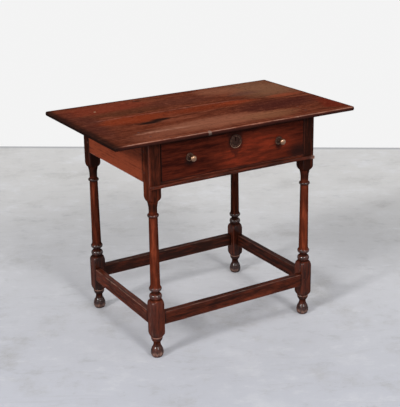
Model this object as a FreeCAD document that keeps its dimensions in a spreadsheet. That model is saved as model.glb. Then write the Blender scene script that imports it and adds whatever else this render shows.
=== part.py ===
"""Tavern table: joined frame with four turned legs, box stretchers and one locking drawer.

Units are millimetres, +Z is up.  The origin is on the floor under the centre of the top,
+X runs along the length of the top and the drawer faces -Y.
"""
import FreeCAD, Part
import os
import re

import Sketcher

os.makedirs("parts", exist_ok=True)
doc = FreeCAD.newDocument("TavernTable")
Vector = FreeCAD.Vector

# ---------------------------------------------------------------- driving dimensions
SIZES = {
    # overall frame and top
    "table_height": 710.0,
    "frame_length": 602.0,
    "frame_depth": 459.0,
    "overhang_left": 120.5,
    "overhang_right": 141.5,
    "overhang_front": 30.0,
    "overhang_back": 23.0,
    "top_thickness": 14.0,
    "top_edge_round": 5.0,
    "top_corner_round": 6.0,
    "front_board_width": 73.0,
    "back_board_width": 223.0,
    # legs: square stock and its turnings, from the floor up
    "leg_width": 40.0,
    "arris_easing": 0.7,
    "sole_radius": 15.0,
    "belly_radius": 20.3,
    "belly_height": 14.0,
    "pear_radius": 14.5,
    "pear_drop": 16.0,
    "ankle_radius": 11.5,
    "ankle_drop": 5.0,
    "foot_height": 50.0,
    "bowl_radius": 18.6,
    "bowl_height": 20.0,
    "bowl_rim": 3.5,
    "shoulder_height": 14.0,
    "shoulder_radius": 17.5,
    "block_below_stretcher": 26.0,
    "block_above_stretcher": 24.0,
    "upper_shoulder_height": 18.0,
    "ball_radius": 20.0,
    "ball_height": 20.0,
    "ball_seat_radius": 15.5,
    "reel_radius": 12.2,
    "reel_height": 6.0,
    "cup_radius": 20.0,
    "cup_height": 9.5,
    "cup_edge": 2.0,
    "flare_height": 11.5,
    "column_foot_radius": 15.6,
    "column_head_radius": 13.8,
    "collar_radius": 18.0,
    "collar_height": 10.0,
    "neck_radius": 13.0,
    "neck_height": 26.0,
    "throat_height": 17.0,
    "block_below_apron": 39.0,
    # aprons, drawer rail and bead
    "apron_height": 129.0,
    "apron_thickness": 20.0,
    "rail_drop": 14.0,
    "rail_height": 18.0,
    "rail_depth": 36.0,
    "bead_height": 11.0,
    "bead_thickness": 6.0,
    "bead_lip": 3.0,
    # stretchers
    "stretcher_height": 42.0,
    "stretcher_thickness": 22.0,
    # mortises, tenons and pegs
    "tenon_thickness": 8.0,
    "tenon_length": 22.0,
    "tenon_setback": 6.0,
    "apron_tenon_shoulder": 12.0,
    "stretcher_tenon_shoulder": 6.0,
    "rail_tenon_shoulder": 4.0,
    "mortise_end_gap": 0.5,
    "mortise_side_gap": 0.05,
    "peg_diameter": 7.0,
    "peg_length": 25.0,
    "peg_inset": 10.0,
    "apron_peg_edge": 32.0,
    "peg_gap": 0.05,
    "top_peg_diameter": 8.0,
    "top_peg_length": 48.0,
    "top_peg_side_spacing": 304.0,
    "top_peg_back_spacing": 232.0,
    # drawer slides
    "runner_width": 26.0,
    "runner_tenon_length": 10.0,
    "runner_tenon_shoulder": 5.0,
    "guide_height": 35.0,
    # drawer box
    "drawer_side_gap": 1.0,
    "drawer_run_gap": 0.3,
    "drawer_front_gap": 1.0,
    "drawer_top_gap": 1.5,
    "drawer_stop_gap": 0.3,
    "drawer_front_thickness": 20.0,
    "drawer_lap": 12.0,
    "drawer_side_thickness": 10.0,
    "drawer_side_drop": 6.0,
    "drawer_back_thickness": 10.0,
    "drawer_back_drop": 14.0,
    "drawer_bottom_thickness": 8.0,
    "drawer_rabbet": 5.0,
    "drawer_front_board": 190.0,
    # nails and brads
    "nail_diameter": 2.0,
    "nail_length": 26.0,
    "nail_head_diameter": 4.6,
    "nail_head_height": 1.0,
    "nail_gap": 0.05,
    "nail_margin": 16.0,
    "bottom_nail_length": 20.0,
    "bottom_nail_margin": 30.0,
    "guide_nail_length": 34.0,
    "guide_nail_margin": 50.0,
    "guide_nail_rise": 18.0,
    "brad_diameter": 1.6,
    "brad_length": 18.0,
    "brad_head_diameter": 2.6,
    "brad_margin": 10.0,
    # knobs
    "knob_spacing": 324.0,
    "knob_rise": 61.0,
    "rose_diameter": 26.0,
    "rose_thickness": 2.4,
    "rose_edge": 0.8,
    "knob_projection": 29.0,
    "knob_head_diameter": 20.0,
    "knob_head_length": 16.0,
    "knob_head_rise": 8.5,
    "knob_button_diameter": 8.0,
    "knob_neck_diameter": 7.0,
    "knob_foot_diameter": 12.0,
    "knob_foot_height": 1.6,
    "knob_post_diameter": 5.0,
    "knob_post_end": 2.0,
    "post_hole_gap": 0.4,
    "nut_width": 11.0,
    "nut_thickness": 4.0,
    "thread_gap": 0.05,
    # escutcheon
    "escutcheon_diameter": 44.0,
    "escutcheon_edge": 0.8,
    "escutcheon_rim_height": 2.4,
    "escutcheon_rim_width": 4.0,
    "escutcheon_dish": 1.1,
    "escutcheon_boss_diameter": 20.0,
    "escutcheon_boss_height": 1.8,
    "escutcheon_drop": 13.5,
    "escutcheon_pin_spacing": 21.0,
    "escutcheon_pin_diameter": 1.6,
    "escutcheon_pin_head": 2.8,
    "escutcheon_pin_length": 7.0,
    "keyhole_diameter": 7.0,
    "keyhole_width": 3.6,
    "keyhole_length": 13.5,
    # lock
    "key_drop": 25.0,
    "lock_width": 58.0,
    "lock_height": 46.0,
    "lock_plate_thickness": 2.0,
    "lock_case_width": 40.0,
    "lock_case_height": 38.0,
    "lock_case_depth": 9.0,
    "lock_case_wall": 1.5,
    "lock_recess_gap": 0.3,
    "bolt_width": 28.0,
    "bolt_head_width": 22.0,
    "bolt_head_height": 10.0,
    "bolt_thickness": 3.6,
    "bolt_height": 36.5,
    "bolt_window_width": 16.0,
    "bolt_window_height": 16.0,
    "bolt_window_drop": 8.0,
    "bolt_throw": 6.0,
    "bolt_gap": 0.3,
    "bolt_mortise_gap": 1.5,
    "key_pin_diameter": 2.4,
    "key_pin_gap": 0.5,
    "spring_thickness": 0.8,
    "spring_width": 2.0,
    "spring_height": 26.0,
    "spring_rise": 3.0,
    "screw_diameter": 2.4,
    "screw_length": 8.0,
    "screw_head_diameter": 4.6,
    "screw_margin": 4.5,
    "screw_drop": 12.0,
}

# ---------------------------------------------------------------- places worked out from them
PLACES = {
    "slab_length": "overhang_left + frame_length + overhang_right",
    "slab_depth": "overhang_front + frame_depth + overhang_back",
    "slab_left": "-slab_length / 2",
    "slab_right": "slab_length / 2",
    "slab_front": "-slab_depth / 2",
    "slab_back": "slab_depth / 2",
    "front_seam": "slab_front + front_board_width",
    "back_seam": "slab_back - back_board_width",
    "frame_left": "slab_left + overhang_left",
    "frame_right": "frame_left + frame_length",
    "frame_front": "slab_front + overhang_front",
    "frame_back": "frame_front + frame_depth",
    "frame_middle": "(frame_left + frame_right) / 2",
    "frame_centre": "(frame_front + frame_back) / 2",
    "inner_left": "frame_left + leg_width",
    "inner_right": "frame_right - leg_width",
    "inner_front": "frame_front + leg_width",
    "inner_back": "frame_back - leg_width",
    "frame_top": "table_height - top_thickness",
    "apron_bottom": "frame_top - apron_height",
    "apron_inner_left": "frame_left + apron_thickness",
    "apron_inner_right": "frame_right - apron_thickness",
    "apron_inner_back": "frame_back - apron_thickness",
    "rail_bottom": "apron_bottom - rail_drop",
    "rail_top": "rail_bottom + rail_height",
    "rail_back": "frame_front + rail_depth",
    "bead_middle": "bead_height / 2",
    # leg stations, heights from the floor
    "pear_height": "foot_height - pear_drop",
    "ankle_height": "foot_height - ankle_drop",
    "bowl_wide": "foot_height + bowl_height - bowl_rim",
    "bowl_top": "foot_height + bowl_height",
    "block_radius": "leg_width / 2 * sqrt(2) - arris_easing",
    "block_low": "bowl_top + shoulder_height",
    "stretcher_bottom": "block_low + block_below_stretcher",
    "stretcher_top": "stretcher_bottom + stretcher_height",
    "block_high": "stretcher_top + block_above_stretcher",
    "ball_bottom": "block_high + upper_shoulder_height",
    "ball_middle": "ball_bottom + ball_height / 2",
    "ball_top": "ball_bottom + ball_height",
    "cup_bottom": "ball_top + reel_height",
    "cup_wide": "cup_bottom + cup_height",
    "cup_top": "cup_wide + cup_edge",
    "flare_top": "cup_top + flare_height",
    "upper_block": "apron_bottom - block_below_apron",
    "throat_top": "upper_block - shoulder_height",
    "neck_top": "throat_top - throat_height",
    "collar_top": "neck_top - neck_height",
    "collar_middle": "collar_top - collar_height / 2",
    "collar_bottom": "collar_top - collar_height",
    # drawer
    "drawer_left": "inner_left + drawer_side_gap",
    "drawer_right": "inner_right - drawer_side_gap",
    "drawer_inside": "frame_front + drawer_front_thickness",
    "drawer_end": "apron_inner_back - drawer_stop_gap",
    "drawer_low": "rail_top + drawer_front_gap",
    "drawer_high": "frame_top - drawer_top_gap",
    "side_low": "rail_top + drawer_run_gap",
    "side_high": "frame_top - drawer_side_drop",
    "back_board_top": "side_high - drawer_back_drop",
    "side_start": "drawer_inside - drawer_lap",
    "floor_top": "side_low + drawer_bottom_thickness",
    "floor_start": "drawer_inside - drawer_rabbet",
    "floor_seam": "drawer_inside + drawer_front_board",
    # knob and rose, measured along the post from its inner end
    "post_length": "knob_post_end + nut_thickness + drawer_front_thickness",
    "knob_seat": "post_length + rose_thickness",
    "knob_foot_top": "knob_seat + knob_foot_height",
    "knob_end": "post_length + knob_projection",
    "knob_head_start": "knob_end - knob_head_length",
    "knob_head_middle": "knob_head_start + knob_head_rise",
    "post_radius": "knob_post_diameter / 2",
    "knob_foot_radius": "knob_foot_diameter / 2",
    "knob_neck_radius": "knob_neck_diameter / 2",
    "knob_head_radius": "knob_head_diameter / 2",
    "knob_button_radius": "knob_button_diameter / 2",
    "rose_hole_radius": "post_radius + thread_gap",
    "rose_radius": "rose_diameter / 2",
    "rose_flat_radius": "knob_foot_radius",
    "knob_height": "drawer_low + knob_rise",
    # escutcheon and lock
    "escutcheon_radius": "escutcheon_diameter / 2",
    "escutcheon_rim_radius": "escutcheon_radius - escutcheon_rim_width / 2",
    "escutcheon_dish_radius": "escutcheon_radius - escutcheon_rim_width",
    "escutcheon_boss_radius": "escutcheon_boss_diameter / 2",
    "escutcheon_boss_foot": "escutcheon_boss_radius + escutcheon_boss_height",
    "key_height": "drawer_high - key_drop",
    "escutcheon_height": "key_height - escutcheon_drop",
    "lock_low": "drawer_high - lock_height",
    "plate_front": "drawer_inside - lock_plate_thickness",
    "case_front": "plate_front - lock_case_depth",
    "case_high": "drawer_high - lock_plate_thickness",
    "case_low": "case_high - lock_case_height",
    "bolt_back": "plate_front - bolt_gap",
    "bolt_front": "bolt_back - bolt_thickness",
    "bolt_high": "drawer_high - bolt_gap",
    "bolt_low": "bolt_high - bolt_height",
    "bolt_shoulder": "bolt_high - bolt_head_height",
    "window_low": "key_height - bolt_window_drop",
}


def cell_sheet(name, rows):
    """A spreadsheet with one row per named cell: the name, then its value."""
    sheet = doc.addObject("Spreadsheet::Sheet", name)
    for row, (alias, value) in enumerate(rows, start=1):
        sheet.set(f"A{row}", alias)
        sheet.set(f"B{row}", value)
        sheet.setAlias(f"B{row}", alias)
    return sheet


def formula(text):
    """The same formula with the sheet's name written before each named size or place."""
    def address(found):
        word = found.group()
        if word in SIZES:
            return f"Sizes.{word}"
        if word in PLACES:
            return f"Places.{word}"
        return word
    return re.sub(r"[a-z_]+", address, str(text))


sizes_sheet = cell_sheet("Sizes", [(alias, str(value)) for alias, value in SIZES.items()])
places_sheet = cell_sheet("Places", [(alias, "=" + formula(text)) for alias, text in PLACES.items()])
doc.recompute()

pieces = []


def value(alias):
    """The present value of one named cell."""
    sheet = sizes_sheet if alias in SIZES else places_sheet
    return float(getattr(sheet, alias))


def bind(thing, prop, text):
    """Bind one property of an object to a formula on the named cells."""
    thing.setExpression(prop, formula(text))


def piece(thing, label):
    """Mark an object as a finished sub-part and name it."""
    thing.Label = label
    pieces.append(thing)
    return thing


# ---------------------------------------------------------------- primitives and booleans
TURNS = {
    "+x": FreeCAD.Rotation(Vector(0, 1, 0), 90),
    "-x": FreeCAD.Rotation(Vector(0, 1, 0), -90),
    "+y": FreeCAD.Rotation(Vector(1, 0, 0), -90),
    "-y": FreeCAD.Rotation(Vector(1, 0, 0), 90),
    "+z": FreeCAD.Rotation(),
    "-z": FreeCAD.Rotation(Vector(1, 0, 0), 180),
    "about face": FreeCAD.Rotation(Vector(0, 0, 1), 180),
}


def place(thing, point, way="+z"):
    """Put an object's own origin at a point given by formulas, with its own Z turned one way."""
    thing.Placement = FreeCAD.Placement(Vector(0, 0, 0), TURNS[way])
    for axis, text in zip("xyz", point):
        bind(thing, f"Placement.Base.{axis}", text)
    return thing


def block(name, x_span, y_span, z_span):
    """A box between a low and a high formula along each axis."""
    box = doc.addObject("Part::Box", name)
    for side, (low, high) in zip(("Length", "Width", "Height"), (x_span, y_span, z_span)):
        bind(box, side, f"({high}) - ({low})")
    return place(box, (x_span[0], y_span[0], z_span[0]))


def across_middle(width):
    """A span of the given width about the middle of the frame."""
    return f"frame_middle - ({width}) / 2", f"frame_middle + ({width}) / 2"


def rod(name, diameter, length, point, way):
    """A round bar that starts at a point and runs one way."""
    bar = doc.addObject("Part::Cylinder", name)
    bind(bar, "Radius", f"({diameter}) / 2")
    bind(bar, "Height", length)
    return place(bar, point, way)


def join(name, things):
    """Several objects fused into one."""
    fusion = doc.addObject("Part::MultiFuse", name)
    fusion.Shapes = list(things)
    fusion.Refine = True
    return fusion


def group(name, things):
    """Several separate solids kept together."""
    bundle = doc.addObject("Part::Compound", name)
    bundle.Links = list(things)
    return bundle


def carve(name, base, tools):
    """A base with one or more tools cut out of it."""
    cut = doc.addObject("Part::Cut", name)
    cut.Base = base
    cut.Tool = tools[0] if len(tools) == 1 else group(name + "_tools", tools)
    cut.Refine = True
    return cut


def overlap(name, base, tool):
    """What two objects have in common."""
    common = doc.addObject("Part::Common", name)
    common.Base = base
    common.Tool = tool
    common.Refine = True
    return common


# ---------------------------------------------------------------- sketches and bodies
START, END, CENTRE = range(1, 4)


def sketch_on(body, name, role):
    """An empty sketch on one of the body's own origin planes."""
    sketch = body.newObject("Sketcher::SketchObject", name)
    plane = next(feature for feature in body.Origin.OriginFeatures if feature.Role == role)
    sketch.AttachmentSupport = [(plane, "")]
    sketch.MapMode = "FlatFace"
    return sketch


def upright_arc(start, end, upright_end):
    """An arc between two points that runs straight up or down at one of them."""
    upright, other = (end, start) if upright_end else (start, end)
    across = other.x - upright.x
    rise = other.y - upright.y
    reach = (across * across + rise * rise) / (2 * across)
    centre = Vector(upright.x + reach, upright.y, 0)
    first = start - centre
    second = end - centre
    turns_left = first.x * second.y - first.y * second.x > 0
    circle = Part.Circle(centre, Vector(0, 0, 1), abs(reach))
    low, high = (start, end) if turns_left else (end, start)
    arc = Part.ArcOfCircle(circle, circle.parameter(low), circle.parameter(high))
    return arc, turns_left


def outline(body, name, role, stations):
    """A closed sketch through named stations (across, up, curve).

    Across and up are cell names, or "zero".  The curve says how the stretch that ends at the
    station runs: "line", "upright start" or "upright end", where an arc is upright at that end.
    """
    sketch = sketch_on(body, name, role)
    points = [Vector(*(0.0 if word == "zero" else value(word) for word in row[:2]), 0) for row in stations]
    ends = []
    for number, (across, up, curve) in enumerate(stations):
        start, end = points[number - 1], points[number]
        if curve == "line":
            geometry = sketch.addGeometry(Part.LineSegment(start, end), False)
            ends.append((geometry, START, END))
        else:
            arc, turns_left = upright_arc(start, end, curve == "upright end")
            geometry = sketch.addGeometry(arc, False)
            ends.append((geometry, START, END) if turns_left else (geometry, END, START))
    for number, (across, up, curve) in enumerate(stations):
        geometry, first, last = ends[number]
        following, next_first, _ = ends[(number + 1) % len(stations)]
        sketch.addConstraint(Sketcher.Constraint("Coincident", geometry, last, following, next_first))
        if across == "zero" and up == "zero":
            sketch.addConstraint(Sketcher.Constraint("Coincident", geometry, last, -1, START))
        else:
            for word, kind, axis in ((across, "DistanceX", -2), (up, "DistanceY", -1)):
                if word == "zero":
                    sketch.addConstraint(Sketcher.Constraint("PointOnObject", geometry, last, axis))
                    continue
                reach = Sketcher.Constraint(kind, -1, START, geometry, last, value(word))
                index = sketch.addConstraint(reach)
                sketch.renameConstraint(index, f"{kind}_{number}")
                sketch.setExpression(f"Constraints.{kind}_{number}", formula(word))
        if curve != "line":
            upright = last if curve == "upright end" else first
            sketch.addConstraint(Sketcher.Constraint("Horizontal", geometry, CENTRE, geometry, upright))
    return sketch


def turned(name, stations, point, way="+z"):
    """A body turned about its own Z from stations of radius and height."""
    body = doc.addObject("PartDesign::Body", name)
    sketch = outline(body, name + "_outline", "XZ_Plane", stations)
    turning = body.newObject("PartDesign::Revolution", name + "_turning")
    turning.Profile = sketch
    turning.ReferenceAxis = (sketch, ["V_Axis"])
    turning.Angle = 360
    sketch.Visibility = False
    return place(body, point, way)


def extruded(name, role, stations, length, point, way="+z"):
    """A body made by padding an outline."""
    body = doc.addObject("PartDesign::Body", name)
    sketch = outline(body, name + "_outline", role, stations)
    pad = body.newObject("PartDesign::Pad", name + "_pad")
    pad.Profile = sketch
    bind(pad, "Length", length)
    sketch.Visibility = False
    return place(body, point, way)


# ---------------------------------------------------------------- nails, screws and pegs
def nail(name, shank, head, length, point, way):
    """A headed nail, driven flush, and the hole it fills: (nail, hole)."""
    solid = join(name, [
        rod(name + "_shank", shank, length, point, way),
        rod(name + "_head", head, "nail_head_height", point, way),
    ])
    hole = join(name + "_hole", [
        rod(name + "_bore", f"{shank} + 2 * nail_gap", f"{length} + nail_gap", point, way),
        rod(name + "_sink", f"{head} + 2 * nail_gap", "nail_head_height + nail_gap", point, way),
    ])
    return solid, hole


def peg(name, diameter, length, point, way):
    """A plain peg and the hole it fills: (peg, hole)."""
    solid = rod(name, diameter, length, point, way)
    hole = rod(name + "_hole", f"{diameter} + 2 * peg_gap", f"{length} + peg_gap", point, way)
    return solid, hole


# ---------------------------------------------------------------- mortise-and-tenon members
HANDS = {"left": ("frame_left", "inner_left", 1), "right": ("frame_right", "inner_right", -1)}
FACES = {"front": ("frame_front", "inner_front", 1), "back": ("frame_back", "inner_back", -1)}

leg_cuts = {(face, hand): [] for face in FACES for hand in HANDS}
apron_pegs, stretcher_pegs = [], []


def span_inward(outer, sign, near, far):
    """The (low, high) span between two depths behind an outer face."""
    first, second = f"{outer} + ({near})", f"{outer} + ({far})"
    if sign < 0:
        first, second = f"{outer} - ({far})", f"{outer} - ({near})"
    return first, second


def member(name, side, thickness, low, high, shoulder, peg_heights, peg_list):
    """A rail that runs between two legs along one side of the frame, with a tenon at each end.

    The tenons go into mortises in the legs, each held by pegs driven through the leg's
    outer face.  The member's outer face is flush with the legs.
    """
    runs_in_x = side in FACES
    outer, _, sign = (FACES if runs_in_x else HANDS)[side]
    ends = HANDS if runs_in_x else FACES
    starts = [ends[key][1] for key in ends]
    body_span = span_inward(outer, sign, "0", thickness)
    tenon_span = span_inward(outer, sign, "tenon_setback", "tenon_setback + tenon_thickness")
    mortise_span = span_inward(outer, sign, "tenon_setback - mortise_side_gap",
                               "tenon_setback + tenon_thickness + mortise_side_gap")
    tenon_rise = (f"{low} + {shoulder}", f"{high} - {shoulder}")
    mortise_rise = (f"{low} + {shoulder} - mortise_side_gap", f"{high} - {shoulder} + mortise_side_gap")

    def along(length_span, cross_span, rise, part_name):
        spans = (length_span, cross_span) if runs_in_x else (cross_span, length_span)
        return block(part_name, *spans, rise)

    long_span = (f"{starts[0]} - tenon_length", f"{starts[1]} + tenon_length")
    solid = join(name + "_blank", [
        along((starts[0], starts[1]), body_span, (low, high), name + "_board"),
        along(long_span, tenon_span, tenon_rise, name + "_tenons"),
    ])
    holes = []
    for key, (_, inner, toward) in ends.items():
        corner = (side, key) if runs_in_x else (key, side)
        deep = "tenon_length + mortise_end_gap"
        mortise = (f"{inner} - ({deep})", inner) if toward > 0 else (inner, f"{inner} + ({deep})")
        leg_cuts[corner].append(along(mortise, mortise_span, mortise_rise, f"{name}_{key}_mortise"))
        line = f"{inner} - peg_inset" if toward > 0 else f"{inner} + peg_inset"
        for number, height in enumerate(peg_heights, start=1):
            point = (line, outer, height) if runs_in_x else (outer, line, height)
            way = ("+" if sign > 0 else "-") + ("y" if runs_in_x else "x")
            pin, hole = peg(f"{name}_{key}_peg_{number}", "peg_diameter", "peg_length", point, way)
            peg_list.append(pin)
            holes.append(hole)
            leg_cuts[corner].append(hole)
    return carve(name + "_cut", solid, holes) if holes else solid


# ---------------------------------------------------------------- frame
APRON_LOWS = {"left": "apron_bottom", "right": "apron_bottom", "back": "rail_bottom"}
aprons = {}
for side, low in APRON_LOWS.items():
    peg_heights = ("frame_top - apron_peg_edge", f"{low} + apron_peg_edge")
    aprons[side] = member(f"{side}_apron", side, "apron_thickness", low, "frame_top",
                          "apron_tenon_shoulder", peg_heights, apron_pegs)
for side in ("front", "back", "left", "right"):
    middle_height = "(stretcher_bottom + stretcher_top) / 2"
    stretcher = member(f"{side}_stretcher", side, "stretcher_thickness", "stretcher_bottom", "stretcher_top",
                       "stretcher_tenon_shoulder", (middle_height,), stretcher_pegs)
    piece(stretcher, f"stretcher_{side}")

# the rail under the drawer, laid flat between the front legs with a wide flat tenon at each end
rail_tenon_depth = ("frame_front + tenon_setback", "rail_back - tenon_setback")
rail_tenon_rise = ("rail_bottom + rail_tenon_shoulder", "rail_top - rail_tenon_shoulder")
rail_blank = join("rail_blank", [
    block("rail_board", ("inner_left", "inner_right"),
          ("frame_front", "rail_back"), ("rail_bottom", "rail_top")),
    block("rail_tenons", ("inner_left - tenon_length", "inner_right + tenon_length"),
          rail_tenon_depth, rail_tenon_rise),
])
RAIL_MORTISES = {
    "left": ("inner_left - tenon_length - mortise_end_gap", "inner_left"),
    "right": ("inner_right", "inner_right + tenon_length + mortise_end_gap"),
}
for hand, span in RAIL_MORTISES.items():
    depth = (f"{rail_tenon_depth[0]} - mortise_side_gap", f"{rail_tenon_depth[1]} + mortise_side_gap")
    rise = (f"{rail_tenon_rise[0]} - mortise_side_gap", f"{rail_tenon_rise[1]} + mortise_side_gap")
    leg_cuts["front", hand].append(block(f"rail_{hand}_mortise", span, depth, rise))

# the bead nailed along the rail and across the fronts of both legs
bead_blank = extruded("bead", "YZ_Plane", [
    ("zero", "zero", "line"),
    ("bead_lip", "zero", "line"),
    ("bead_thickness", "bead_middle", "upright end"),
    ("bead_lip", "bead_height", "upright start"),
    ("zero", "bead_height", "line"),
], "frame_length", ("frame_right", "frame_front", "rail_bottom"), "about face")
BRAD_COUNT = 6
brads, brad_holes = [], []
for number in range(BRAD_COUNT):
    across = f"frame_left + brad_margin + (frame_length - 2 * brad_margin) * {number} / {BRAD_COUNT - 1}"
    brad, hole = nail(f"brad_{number + 1}", "brad_diameter", "brad_head_diameter", "brad_length",
                      (across, "frame_front - bead_thickness", "rail_bottom + bead_middle"), "+y")
    brads.append(brad)
    brad_holes.append(hole)
leg_cuts["front", "left"].append(brad_holes[0])
leg_cuts["front", "right"].append(brad_holes[-1])
piece(carve("bead_cut", bead_blank, brad_holes), "rail_bead")
piece(group("brad_group", brads), "bead_brads")

# drawer runners, tenoned into the rail and the back apron
runner_mortises = {"rail": [], "apron": []}
RUNNER_SPANS = {
    "left": ("inner_left", "inner_left + runner_width"),
    "right": ("inner_right - runner_width", "inner_right"),
}
for hand, (near, far) in RUNNER_SPANS.items():
    tenon_rise = ("rail_bottom + runner_tenon_shoulder", "rail_top - runner_tenon_shoulder")
    tenon_width = (f"{near} + runner_tenon_shoulder", f"{far} - runner_tenon_shoulder")
    tenon_length = ("rail_back - runner_tenon_length", "apron_inner_back + runner_tenon_length")
    runner = join(f"{hand}_runner", [
        block(f"{hand}_runner_board", (near, far),
              ("rail_back", "apron_inner_back"), ("rail_bottom", "rail_top")),
        block(f"{hand}_runner_tenons", tenon_width, tenon_length, tenon_rise),
    ])
    piece(runner, f"drawer_runner_{hand}")
    loose_rise = (f"{tenon_rise[0]} - mortise_side_gap", f"{tenon_rise[1]} + mortise_side_gap")
    loose_width = (f"{tenon_width[0]} - mortise_side_gap", f"{tenon_width[1]} + mortise_side_gap")
    runner_mortises["rail"].append(block(
        f"{hand}_runner_rail_mortise", loose_width,
        (f"{tenon_length[0]} - mortise_end_gap", "rail_back"), loose_rise))
    runner_mortises["apron"].append(block(
        f"{hand}_runner_apron_mortise", loose_width,
        ("apron_inner_back", f"{tenon_length[1]} + mortise_end_gap"), loose_rise))
piece(carve("rail_cut", rail_blank, brad_holes[1:-1] + runner_mortises["rail"]), "drawer_rail")

# drawer guides, nailed to the side aprons flush with the inner faces of the legs
GUIDES = {
    "left": (("apron_inner_left", "inner_left"), "inner_left", "-x"),
    "right": (("inner_right", "apron_inner_right"), "inner_right", "+x"),
}
guide_nails = []
apron_holes = {"left": [], "right": [], "back": list(runner_mortises["apron"])}
GUIDE_NAIL_COUNT = 3
for hand, (span, face, way) in GUIDES.items():
    blank = block(f"{hand}_guide_blank", span, ("inner_front", "inner_back"),
                  ("apron_bottom", "apron_bottom + guide_height"))
    holes = []
    for number in range(GUIDE_NAIL_COUNT):
        step = f"(inner_back - inner_front - 2 * guide_nail_margin) * {number} / {GUIDE_NAIL_COUNT - 1}"
        point = (face, f"inner_front + guide_nail_margin + {step}", "apron_bottom + guide_nail_rise")
        solid, hole = nail(f"{hand}_guide_nail_{number + 1}", "nail_diameter", "nail_head_diameter",
                           "guide_nail_length", point, way)
        guide_nails.append(solid)
        holes.append(hole)
    piece(carve(f"{hand}_guide", blank, holes), f"drawer_guide_{hand}")
    apron_holes[hand] += holes
piece(group("guide_nail_group", guide_nails), "guide_nails")

# ---------------------------------------------------------------- top
slab = extruded("slab", "XY_Plane", [
    ("zero", "zero", "line"),
    ("slab_length", "zero", "line"),
    ("slab_length", "slab_depth", "line"),
    ("zero", "slab_depth", "line"),
], "top_thickness", ("slab_left", "slab_front", "frame_top"))
doc.recompute()


def round_edges(body, base, name, radius, is_chosen):
    """Round the edges of a body's last feature that a test picks."""
    chosen = [f"Edge{number}" for number, edge in enumerate(base.Shape.Edges, start=1) if is_chosen(edge)]
    rounding = body.newObject("PartDesign::Fillet", name)
    rounding.Base = (base, chosen)
    bind(rounding, "Radius", radius)
    doc.recompute()
    return rounding


def is_upright(edge):
    heights = [vertex.Z for vertex in edge.Vertexes]
    return max(heights) - min(heights) > value("top_thickness") / 2


corners = round_edges(slab, slab.Tip, "slab_corners", "top_corner_round", is_upright)
round_edges(slab, corners, "slab_arrises", "top_edge_round", lambda edge: not is_upright(edge))

# wooden pegs driven down through the top into the aprons and the front legs
TOP_PEGS = {
    "apron_left_front": ("frame_left + apron_thickness / 2", "frame_centre - top_peg_side_spacing / 2"),
    "apron_left_back": ("frame_left + apron_thickness / 2", "frame_centre + top_peg_side_spacing / 2"),
    "apron_right_front": ("frame_right - apron_thickness / 2", "frame_centre - top_peg_side_spacing / 2"),
    "apron_right_back": ("frame_right - apron_thickness / 2", "frame_centre + top_peg_side_spacing / 2"),
    "apron_back_left": ("frame_middle - top_peg_back_spacing / 2", "frame_back - apron_thickness / 2"),
    "apron_back_right": ("frame_middle + top_peg_back_spacing / 2", "frame_back - apron_thickness / 2"),
    "leg_left": ("(frame_left + inner_left) / 2", "(frame_front + inner_front) / 2"),
    "leg_right": ("(frame_right + inner_right) / 2", "(frame_front + inner_front) / 2"),
}
top_pegs, top_peg_holes = [], {}
for key, (across, along) in TOP_PEGS.items():
    solid, hole = peg(f"top_peg_{key}", "top_peg_diameter", "top_peg_length",
                      (across, along, "table_height"), "-z")
    top_pegs.append(solid)
    top_peg_holes[key] = hole
for side in apron_holes:
    apron_holes[side] += [hole for key, hole in top_peg_holes.items() if key.startswith(f"apron_{side}")]
for hand in HANDS:
    leg_cuts["front", hand].append(top_peg_holes[f"leg_{hand}"])
piece(group("top_peg_group", top_pegs), "top_pegs")

bolt_mortise = block(
    "bolt_mortise",
    across_middle("bolt_head_width + 2 * bolt_mortise_gap"),
    ("bolt_front - bolt_mortise_gap", "bolt_back + bolt_mortise_gap"),
    ("frame_top", "bolt_high + bolt_throw + bolt_mortise_gap"))
BOARDS = {
    "front": ("slab_front", "front_seam"),
    "middle": ("front_seam", "back_seam"),
    "back": ("back_seam", "slab_back"),
}
for key, span in BOARDS.items():
    board = overlap(f"{key}_board", slab, block(f"{key}_board_span", ("slab_left", "slab_right"), span,
                                                ("frame_top", "table_height")))
    tools = list(top_peg_holes.values())
    if key == "front":
        tools.append(bolt_mortise)
    piece(carve(f"{key}_board_cut", board, tools), f"top_board_{key}")

for side, apron in aprons.items():
    piece(carve(f"{side}_apron_holes", apron, apron_holes[side]), f"apron_{side}")

# ---------------------------------------------------------------- legs
LEG_STATIONS = [
    ("zero", "zero", "line"),
    ("sole_radius", "zero", "line"),
    ("belly_radius", "belly_height", "upright end"),
    ("pear_radius", "pear_height", "upright start"),
    ("ankle_radius", "ankle_height", "upright end"),
    ("ankle_radius", "foot_height", "line"),
    ("bowl_radius", "bowl_wide", "upright end"),
    ("bowl_radius", "bowl_top", "line"),
    ("shoulder_radius", "bowl_top", "line"),
    ("block_radius", "block_low", "upright end"),
    ("block_radius", "block_high", "line"),
    ("ball_seat_radius", "ball_bottom", "upright start"),
    ("ball_radius", "ball_middle", "upright end"),
    ("reel_radius", "ball_top", "upright start"),
    ("reel_radius", "cup_bottom", "line"),
    ("cup_radius", "cup_wide", "upright end"),
    ("cup_radius", "cup_top", "line"),
    ("column_foot_radius", "flare_top", "upright end"),
    ("column_head_radius", "collar_bottom", "line"),
    ("collar_radius", "collar_middle", "upright end"),
    ("neck_radius", "collar_top", "upright start"),
    ("neck_radius", "neck_top", "line"),
    ("shoulder_radius", "throat_top", "upright start"),
    ("block_radius", "upper_block", "upright end"),
    ("block_radius", "frame_top", "line"),
    ("zero", "frame_top", "line"),
]
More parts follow.
